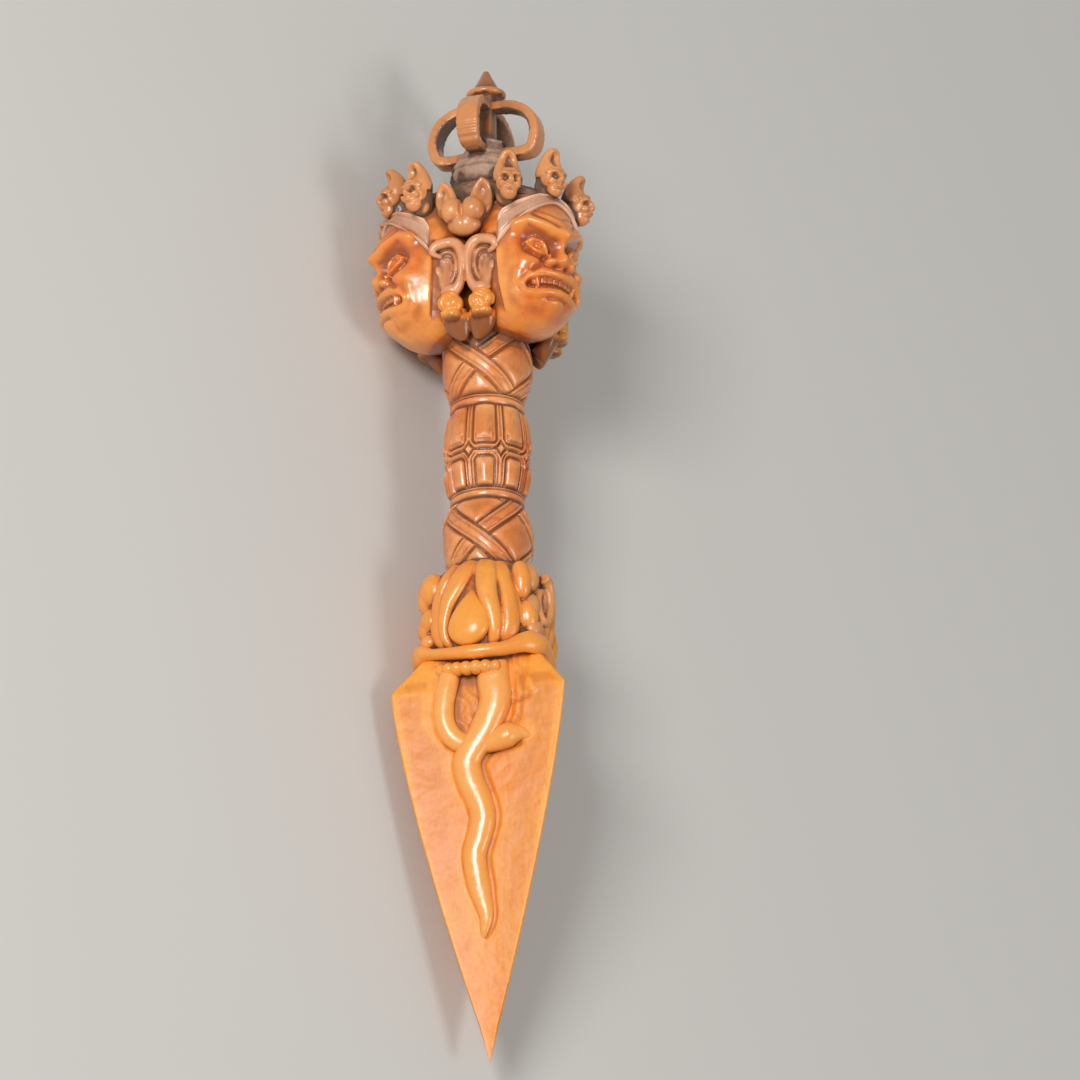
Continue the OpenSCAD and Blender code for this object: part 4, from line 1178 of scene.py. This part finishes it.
# %% Finial
def hub_reach(a, s):
    t = (s - CROWN_TOP) / (HUB_TOP - CROWN_TOP)
    plain = mix(HUB_R * 0.9, HUB_R * 0.68, t) + HUB_R * 0.16 * np.sin(np.radians(270 * t))
    top = unit((1 - t) / 0.1) ** 0.5
    ridges = lines_at(s, (232.2, -0.35, 1.0), (236.6, 0.25, 1.2))
    return mix(ROD_W * 1.1, plain, top) + 0.42 * gouges(a, s, 9.0) + ridges


finial_hub = rolled("finial_hub", CROWN_TOP, HUB_TOP, hub_reach, 220, 60)
PRONG_AT = -20.0
rod_path = polar(0.0, 0.0, np.linspace(HUB_TOP - 0.5, CAP_S + 0.3, 40))
centre_rod = bar("centre_rod", rod_path, polar(1.0, PRONG_AT, 0.0), 2.15, 2.15, around=32, profile=0.35)

# Each point of a prong's middle line: radius, height, half width, half thickness. It leaves
# the hub level, turns up at an elbow and bows back to the rod under the cap.
PRONG_LINE = [
    (4.2, 237.2, 2, 1.2), (8.6, 236.8, 2.2, 1.25), (11.7, 237.3, 2.5, 1.3), (12.9, 239.6, 2.7, 1.3),
    (13, 242.6, 2.75, 1.3), (12, 245.6, 2.7, 1.3), (9.6, 248.1, 2.5, 1.25), (6.2, 249.5, 2.3, 1.2),
    (1.8, 249.9, 2, 1.1),
]


def prong(k):
    a = PRONG_AT + (k - 1) * 90
    r, s, half_w, half_t = smooth_path(PRONG_LINE, 0.25).T
    grooves = sum(hump(s, middle, 0.28) for middle in (237.9, 239.2, 240.5)) * (r > 11.3)
    half_t = half_t * (1 - (0.3 if k == 1 else 0.04) * grooves)
    piece = bar(f"prong_{k}", polar(r, a, s), polar(1.0, a + 90, 0.0), half_t, half_w, around=40,
                profile=0.34)
    x, y, z = points_of(piece).T
    worn = 0.05 * np.sin(1.7 * x + 2.1 * z + k) * np.sin(2.3 * y - 1.4 * z)
    push(piece, worn + 0.02 * np.sin(4.1 * z + 2.7 * x - 3.1 * y))
    return piece


prongs = [prong(k) for k in (1, 2, 3, 4)]


def cap_reach(a, s):
    rim = 3.9 + 0.95 * np.sqrt(unit(1 - ((s - CAP_S - 0.85) / 0.85) ** 2))
    t = unit((s - CAP_S - 1.2) / (TOTAL - CAP_S - 1.2))
    cone = mix(3.9, 0.5, t ** 0.9) * np.clip((1 - t) / 0.04, 0.1, 1) ** 0.5 + 0.08 * gouges(a, s, 9.0)
    return np.where(s < CAP_S + 1.7, np.maximum(rim, cone), cone)


finial_cap = rolled("finial_cap", CAP_S, TOTAL, cap_reach, 120, 90)
print("finial:", faces(finial_hub, centre_rod, prongs[0], finial_cap))

# %% What stands for what
# Each row: the pieces, the CAD nodes that each stands for, # being its number, its material slot,
# and its finish where that isn't named like the slot.
WARDROBE = [
    ([blade], "blade", "blade_wood"),
    ([collar], "collar", "carved_wood"),
    ([lip_roll], "lip_roll", "carved_wood"),
    ([lower_knot], "lower_knot lower_straps", "grip_wood"),
    ([lower_ring], "lower_ring", "grip_wood"),
    ([drum], "lotus_drum drum_petals", "grip_wood"),
    ([upper_ring], "upper_ring", "grip_wood"),
    ([upper_knot], "upper_knot upper_straps", "grip_wood", "knot_wood"),
    ([crown], "crown", "recess_wood", "chiselled_wood"),
    ([finial_hub], "finial_hub", "recess_wood"),
    ([centre_rod], "centre_rod", "crown_wood", "prong_wood"),
    ([finial_cap], "finial_cap", "crown_wood", "prong_wood"),
    (long_snakes, "long_serpent_#", "serpent_wood"),
    (short_snakes, "short_serpent_#", "serpent_wood"),
    (bead_bands, "bead_band_#", "carved_wood"),
    (buds, "bud_#", "serpent_wood", "bud_wood"),
    (all_leaves, "leaves_#", "carved_wood"),
    (scrolls, "scroll_#", "carved_wood", "scroll_wood"),
    (heads, "head_#", "face_wood"),
    (headbands, "headband_#", "carved_wood", "band_wood"),
    (all_ears, "ears_#", "carved_wood", "worn_wood"),
    (all_earrings, "earrings_#", "carved_wood"),
    (all_skulls, "skulls_#", "crown_wood"),
    (hearts, "heart_#", "crown_wood"),
    (prongs, "prong_#", "crown_wood", "prong_wood"),
]
dressing = []
for pieces, nodes, *woods in WARDROBE:
    for i, piece in enumerate(pieces):
        finish = woods[0] if piece is scrolls[2] else woods[-1]  # the plain curls are waxed like the leaves
        dressing.append((piece, nodes.replace("#", str(i + 1)).split(), woods[0], finish))
print("dressing:", len(dressing), "pieces")

# %% [markdown]
# Old boxwood is pale where hands rub it and dark and dirty where they can't reach,
# and here the dark in hollows and under overhangs is partly painted shade. To know
# which is which, all points of all pieces are gathered in a map of the outermost
# radius by bearing and height. Blurring the map gives the surface that a fingertip
# feels: a point below it lies in a hollow, and a point above it on a ridge. Each
# mesh keeps the result as two attributes that its finish reads.

# %% Hollows and ridges
MAP_TURN, MAP_STEP = 720, 0.25
MAP_ROWS = int((TOTAL + 2) / MAP_STEP)


def blurred(image, spread_round, spread_up):
    """Blurs round the axis, where the map closes on itself, and up it, where its last rows repeat."""
    for axis, spread, mode in ((1, spread_round, "wrap"), (0, spread_up, "edge")):
        reach = int(3 * spread)
        kernel = np.exp(-0.5 * (np.arange(-reach, reach + 1) / spread) ** 2)
        padded = np.pad(image, [(reach, reach) if i == axis else (0, 0) for i in (0, 1)], mode=mode)
        image = np.apply_along_axis(np.convolve, axis, padded, kernel / kernel.sum(), "valid")
    return image


def map_place(points):
    """Where points lie on the map, counted in cells round and up."""
    return bearings_of(points) % 360 / 360 * MAP_TURN, points[:, 2] / MAP_STEP


def between_cells(image, points):
    """The map's value at each point, mixed from the four nearest cells, so that no cell shows as a step."""
    round_about, up_it = map_place(points)
    column, row = round_about - 0.5, np.clip(up_it - 0.5, 0, MAP_ROWS - 1.001)
    c, r = np.floor(column).astype(int), np.floor(row).astype(int)
    low, high = [mix(image[at, c % MAP_TURN], image[at, (c + 1) % MAP_TURN], column - c) for at in (r, r + 1)]
    return mix(low, high, row - r)


def evened_out(piece, value):
    """Mixes each point's value with its neighbours', so that no patch ends in a hard line."""
    ends = np.empty(len(piece.data.edges) * 2, dtype=np.int32)
    piece.data.edges.foreach_get("vertices", ends)
    a, b = ends[0::2], ends[1::2]
    n = len(value)
    neighbours = np.maximum(np.bincount(a, minlength=n) + np.bincount(b, minlength=n), 1)
    for _ in range(4):
        value = 0.5 * value + 0.5 * (np.bincount(a, value[b], n) + np.bincount(b, value[a], n)) / neighbours
    return value


def mark_relief(pieces):
    outermost = np.zeros((MAP_ROWS, MAP_TURN))
    for piece in pieces:
        points = points_of(piece)
        round_about, up_it = map_place(points)
        row, column = np.clip(up_it.astype(int), 0, MAP_ROWS - 1), round_about.astype(int) % MAP_TURN
        np.maximum.at(outermost, (row, column), radii_of(points))
    for _ in range(6):
        grown = np.maximum.reduce([np.roll(outermost, d, axis) for axis in (0, 1) for d in (-1, 1)])
        outermost = np.where(outermost == 0, grown, outermost)
    felt_near, felt_wide = blurred(outermost, 3.5, 3.2), blurred(outermost, 11, 10)
    for piece in pieces:
        points = points_of(piece)
        for name, felt, deep in (("fine_relief", felt_near, 0.35), ("broad_relief", felt_wide, 1.6)):
            value = (radii_of(points) - between_cells(felt, points)) / deep
            mark(piece, name, evened_out(piece, value / (1 + np.abs(value))))


every_piece = [row[0] for row in dressing]
mark_relief(every_piece)

# %% [markdown]
# Boxwood is dense and almost without pores, so its figure is faint: fine streaks
# along the grain and slow changes of tone. What the eye meets first is the finish.
# Wax and handling make the high places orange and glossy, and dirt turns the cuts
# brown and dull. The hollows and undersides are also darkened: partly patina, partly painted shade.

# %% Material tools
def colour(hex_code):
    """A colour written in sRGB hex, as the linear numbers that Blender works in."""
    parts = [int(hex_code[i:i + 2], 16) / 255 for i in (1, 3, 5)]
    return tuple(x / 12.92 if x <= 0.04045 else ((x + 0.055) / 1.055) ** 2.4 for x in parts) + (1.0,)


def feed(material, node, inputs):
    """Gives a node its inputs: numbers, colours or other nodes' sockets."""
    for name, value in inputs.items():
        if isinstance(value, bpy.types.NodeSocket):
            material.node_tree.links.new(value, node.inputs[name])
        else:
            node.inputs[name].default_value = value


def add_node(material, kind, inputs, **settings):
    node = material.node_tree.nodes.new(kind)
    for name, value in settings.items():
        setattr(node, name, value)
    feed(material, node, inputs)
    return node


# %% Waxed boxwood
PATINA_AND_SHADE = "#7C3A18"


def boxwood(name, light, middle, dark, dirt, dull, coat, grain, soiled, rough=0.0, rubbed="", shaded=0.95):
    material = bpy.data.materials.new(name)
    material.use_nodes = True
    place = add_node(material, "ShaderNodeTexCoord", {}).outputs["Object"]

    def noise(scale, detail, crisp, stretch=(1, 1, 1)):
        """Noise whose spots are about 1 / scale metres wide; a stretch under 1 draws them out."""
        mapped = add_node(material, "ShaderNodeMapping", {"Vector": place, "Scale": stretch}).outputs[0]
        inputs = {"Vector": mapped, "Scale": scale, "Detail": detail, "Roughness": crisp}
        return add_node(material, "ShaderNodeTexNoise", inputs).outputs["Fac"]

    def between(value, low, high, to_low=0.0, to_high=1.0):
        inputs = {"Value": value, "From Min": low, "From Max": high, "To Min": to_low, "To Max": to_high}
        return add_node(material, "ShaderNodeMapRange", inputs).outputs["Result"]

    def maths(operation, a, b):
        return add_node(material, "ShaderNodeMath", {0: a, 1: b}, operation=operation).outputs["Value"]

    def blend(amount, a, b):
        """Mixes two colours, which the Mix node has at inputs 6 and 7 and output 2."""
        return add_node(material, "ShaderNodeMix", {0: amount, 6: a, 7: b}, data_type="RGBA").outputs[2]

    def bump(height, strength, distance, **below):
        inputs = {"Height": height, "Strength": strength, "Distance": distance, **below}
        return add_node(material, "ShaderNodeBump", inputs).outputs["Normal"]

    def read(name):
        return add_node(material, "ShaderNodeAttribute", {}, attribute_name=name).outputs["Fac"]

    fine, broad = read("fine_relief"), read("broad_relief")
    streaks = noise(1 / 0.0005, 4.0, 0.6, stretch=(1, 0.045, 1))
    tone = noise(1 / 0.011, 2.0, 0.5, stretch=(1, 0.5, 1))
    specks = noise(1 / 0.0007, 2.0, 0.6)
    base = blend(between(tone, 0.35, 0.65), colour(middle), colour(light))
    base = blend(maths("MULTIPLY", between(streaks, 0.5, 0.75), grain), base, colour(dark))
    base = blend(between(noise(1 / 0.003, 3.0, 0.6), 0.48, 0.78, 0.0, 0.32), base, colour(dark))
    base = blend(between(noise(1 / 0.0009, 3.0, 0.7), 0.64, 0.74, 0.0, 0.4), base, colour(dark))
    ridge = between(maths("ADD", fine, maths("MULTIPLY", broad, 0.3)), 0.1, 0.8, 0.0, 0.6)
    base = blend(ridge, base, colour(rubbed or light))
    # Hollows and the undersides of overhangs are darkened towards the dark colour: partly patina, partly
    # painted shade.
    hollow = maths("ADD", between(fine, 0.1, -0.75), between(broad, 0.0, -1.0, 0.0, 0.5))
    shade = maths("MINIMUM", between(hollow, 0.0, 0.75, 0.0, shaded), 1.0)
    base = blend(shade, base, colour(dark))
    unreached = maths("ADD", between(fine, -0.05, -0.7), between(broad, -0.5, -1.0, 0.0, 0.3))
    held = between(specks, 0.3, 0.6, 0.45, 1.0)
    grime = maths("MINIMUM", maths("MULTIPLY", between(unreached, 0.25, 1.0, 0.0, soiled), held), 1.0)
    base = blend(grime, base, colour(dirt))
    # Marked points darken towards reddish brown: the middle of each band, and the locks under the earrings,
    # where it is painted shadow as well as patina.
    base = blend(maths("MULTIPLY", read("patina_and_shade"), 0.85), base, colour(PATINA_AND_SHADE))
    duller = maths("ADD", maths("MULTIPLY", grime, 0.4), between(tone, 0.3, 0.7, 0.0, 0.08))
    bumps = bump(noise(1 / 0.005, 2.0, 0.5), 0.45, 0.0012)
    tool_marks = noise(1 / 0.0016, 2.0, 0.5, stretch=(1, 0.3, 1))
    bumps = bump(tool_marks, 0.12 + 0.6 * rough, 0.0004, Normal=bumps)
    bumps = bump(streaks, 0.10 + 0.3 * rough, 0.00012, Normal=bumps)
    feed(material, material.node_tree.nodes["Principled BSDF"], {
        "Base Color": base, "Roughness": maths("MINIMUM", maths("ADD", dull, duller), 0.9), "IOR": 1.5,
        "Coat Weight": coat, "Coat Roughness": 0.26, "Normal": bumps})
    return material


# Each row: the finish, the wood's name, its light, middle, dark and dirt colours, the dark one serving
# for the grain and for the painted shade in hollows, then how dull the wax is, its coat, the grain, how
# soiled, and how roughly cut where it was left from the tool. A last column has the colour of rubbed
# ridges and the depth of the painted shade where they aren't the usual ones.
FINISHES = [
    ("blade_wood", "scraped_flat", "#FFAA46 #F89226 #CC7028 #9E6E48", (0.42, 0.1, 0.5, 0.6)),
    ("serpent_wood", "polished_relief", "#FCAC54 #F49436 #A65220 #6E4226", (0.26, 0.8, 0.15, 0.6)),
    ("carved_wood", "waxed_carving", "#FCA644 #E67A28 #7E3810 #8A6850", (0.26, 0.7, 0.25, 0.8)),
    ("worn_wood", "worn_trim", "#F0AE7C #D4824C #7E4426 #967258", (0.3, 0.5, 0.25, 0.85)),
    ("scroll_wood", "dusty_scroll", "#E8A060 #C8783E #6E3C20 #8A6A54", (0.32, 0.5, 0.3, 0.95)),
    ("band_wood", "worn_band", "#F6C8A6 #D89068 #7E4A30 #9A7A64", (0.3, 0.6, 0.25, 0.85),
     dict(rubbed="#FFD8B8")),
    ("grip_wood", "handled_grip", "#F8A45C #E0762C #6A3010 #8C6C56", (0.25, 0.8, 0.25, 0.9),
     dict(rubbed="#FFCC9C")),
    ("knot_wood", "sheltered_knot", "#F8A45C #E0762C #7A3C18 #8C6C56", (0.25, 0.8, 0.25, 0.5),
     dict(rubbed="#FFCC9C", shaded=0.75)),
    ("face_wood", "polished_face", "#FFA84E #EC7622 #943E0E #7E5842", (0.26, 0.9, 0.2, 0.35),
     dict(shaded=0.75)),
    ("bud_wood", "polished_bud", "#FCA640 #F28E28 #B0601C #7E5236", (0.3, 0.5, 0.1, 0.4)),
    ("recess_wood", "dry_recess", "#CCA78E #B48F78 #7A5A48 #5E463A", (0.6, 0.0, 0.4, 1.0, 1.0)),
    ("chiselled_wood", "chiselled_top", "#B88E72 #946C52 #5E4230 #54402F", (0.55, 0.1, 0.4, 0.5, 0.8),
     dict(shaded=0.55)),
    ("crown_wood", "worn_crown", "#EC9E60 #BC7240 #5A321C #745846", (0.28, 0.6, 0.3, 0.9, 0.2)),
    ("prong_wood", "worn_prong", "#E6985C #B06A3A #643A24 #846856", (0.3, 0.6, 0.35, 0.9, 0.35)),
]
finishes = {}
for finish, wood, colours, amounts, *own in FINISHES:
    finishes[finish] = boxwood("boxwood_" + wood, *colours.split(), *amounts, **(own[0] if own else {}))

# %% Lay the pieces down, and hand each to the frame
for piece, nodes, slot, finish in dressing:
    piece.data.transform(LAID)
    piece.data.update()
    only(piece)
    bpy.ops.object.shade_smooth()
    piece.data.materials.clear()
    piece.data.materials.append(finishes[finish])
    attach(piece, "root")
    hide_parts(*nodes)
print("dressed:", len(dressing), "pieces;", sum(faces(*every_piece)), "faces")

# %% [markdown]
# The studio is a plain pale floor, a broad key lamp near the camera's upper left,
# which gives the wax its streak-shaped highlights, and a soft fill from the right.

# %% Floor and lamps
bpy.ops.mesh.primitive_plane_add(size=12)
floor = bpy.context.object
floor.name = "floor"
paper = bpy.data.materials.new("matt_paper")
paper.use_nodes = True
feed(paper, paper.node_tree.nodes["Principled BSDF"], {"Base Color": colour("#D9D6D0"), "Roughness": 0.85})
floor.data.materials.append(paper)

world = bpy.data.worlds.new("soft_room")
world.use_nodes = True
feed(world, world.node_tree.nodes["Background"], {"Color": (1, 1, 1, 1), "Strength": 0.30})
bpy.context.scene.world = world


def lamp(name, towards, distance, size, power):
    """A square lamp that looks at the grip from a direction given as right, up and towards the camera."""
    data = bpy.data.lights.new(name, "AREA")
    data.shape = "SQUARE"
    data.size = size
    data.energy = power
    light = bpy.data.objects.new(name, data)
    bpy.context.scene.collection.objects.link(light)
    way = (right * towards[0] + up * towards[1] + towards_camera * towards[2]).normalized()
    light.location = aim + way * distance
    light.rotation_euler = way.to_track_quat("Z", "Y").to_euler()


lamp("key", (-0.28, 0.42, 1.0), 1.5, 0.42, 14)
lamp("fill", (0.9, -0.1, 0.8), 1.6, 0.5, 5)
bpy.context.scene.view_settings.view_transform = "Standard"
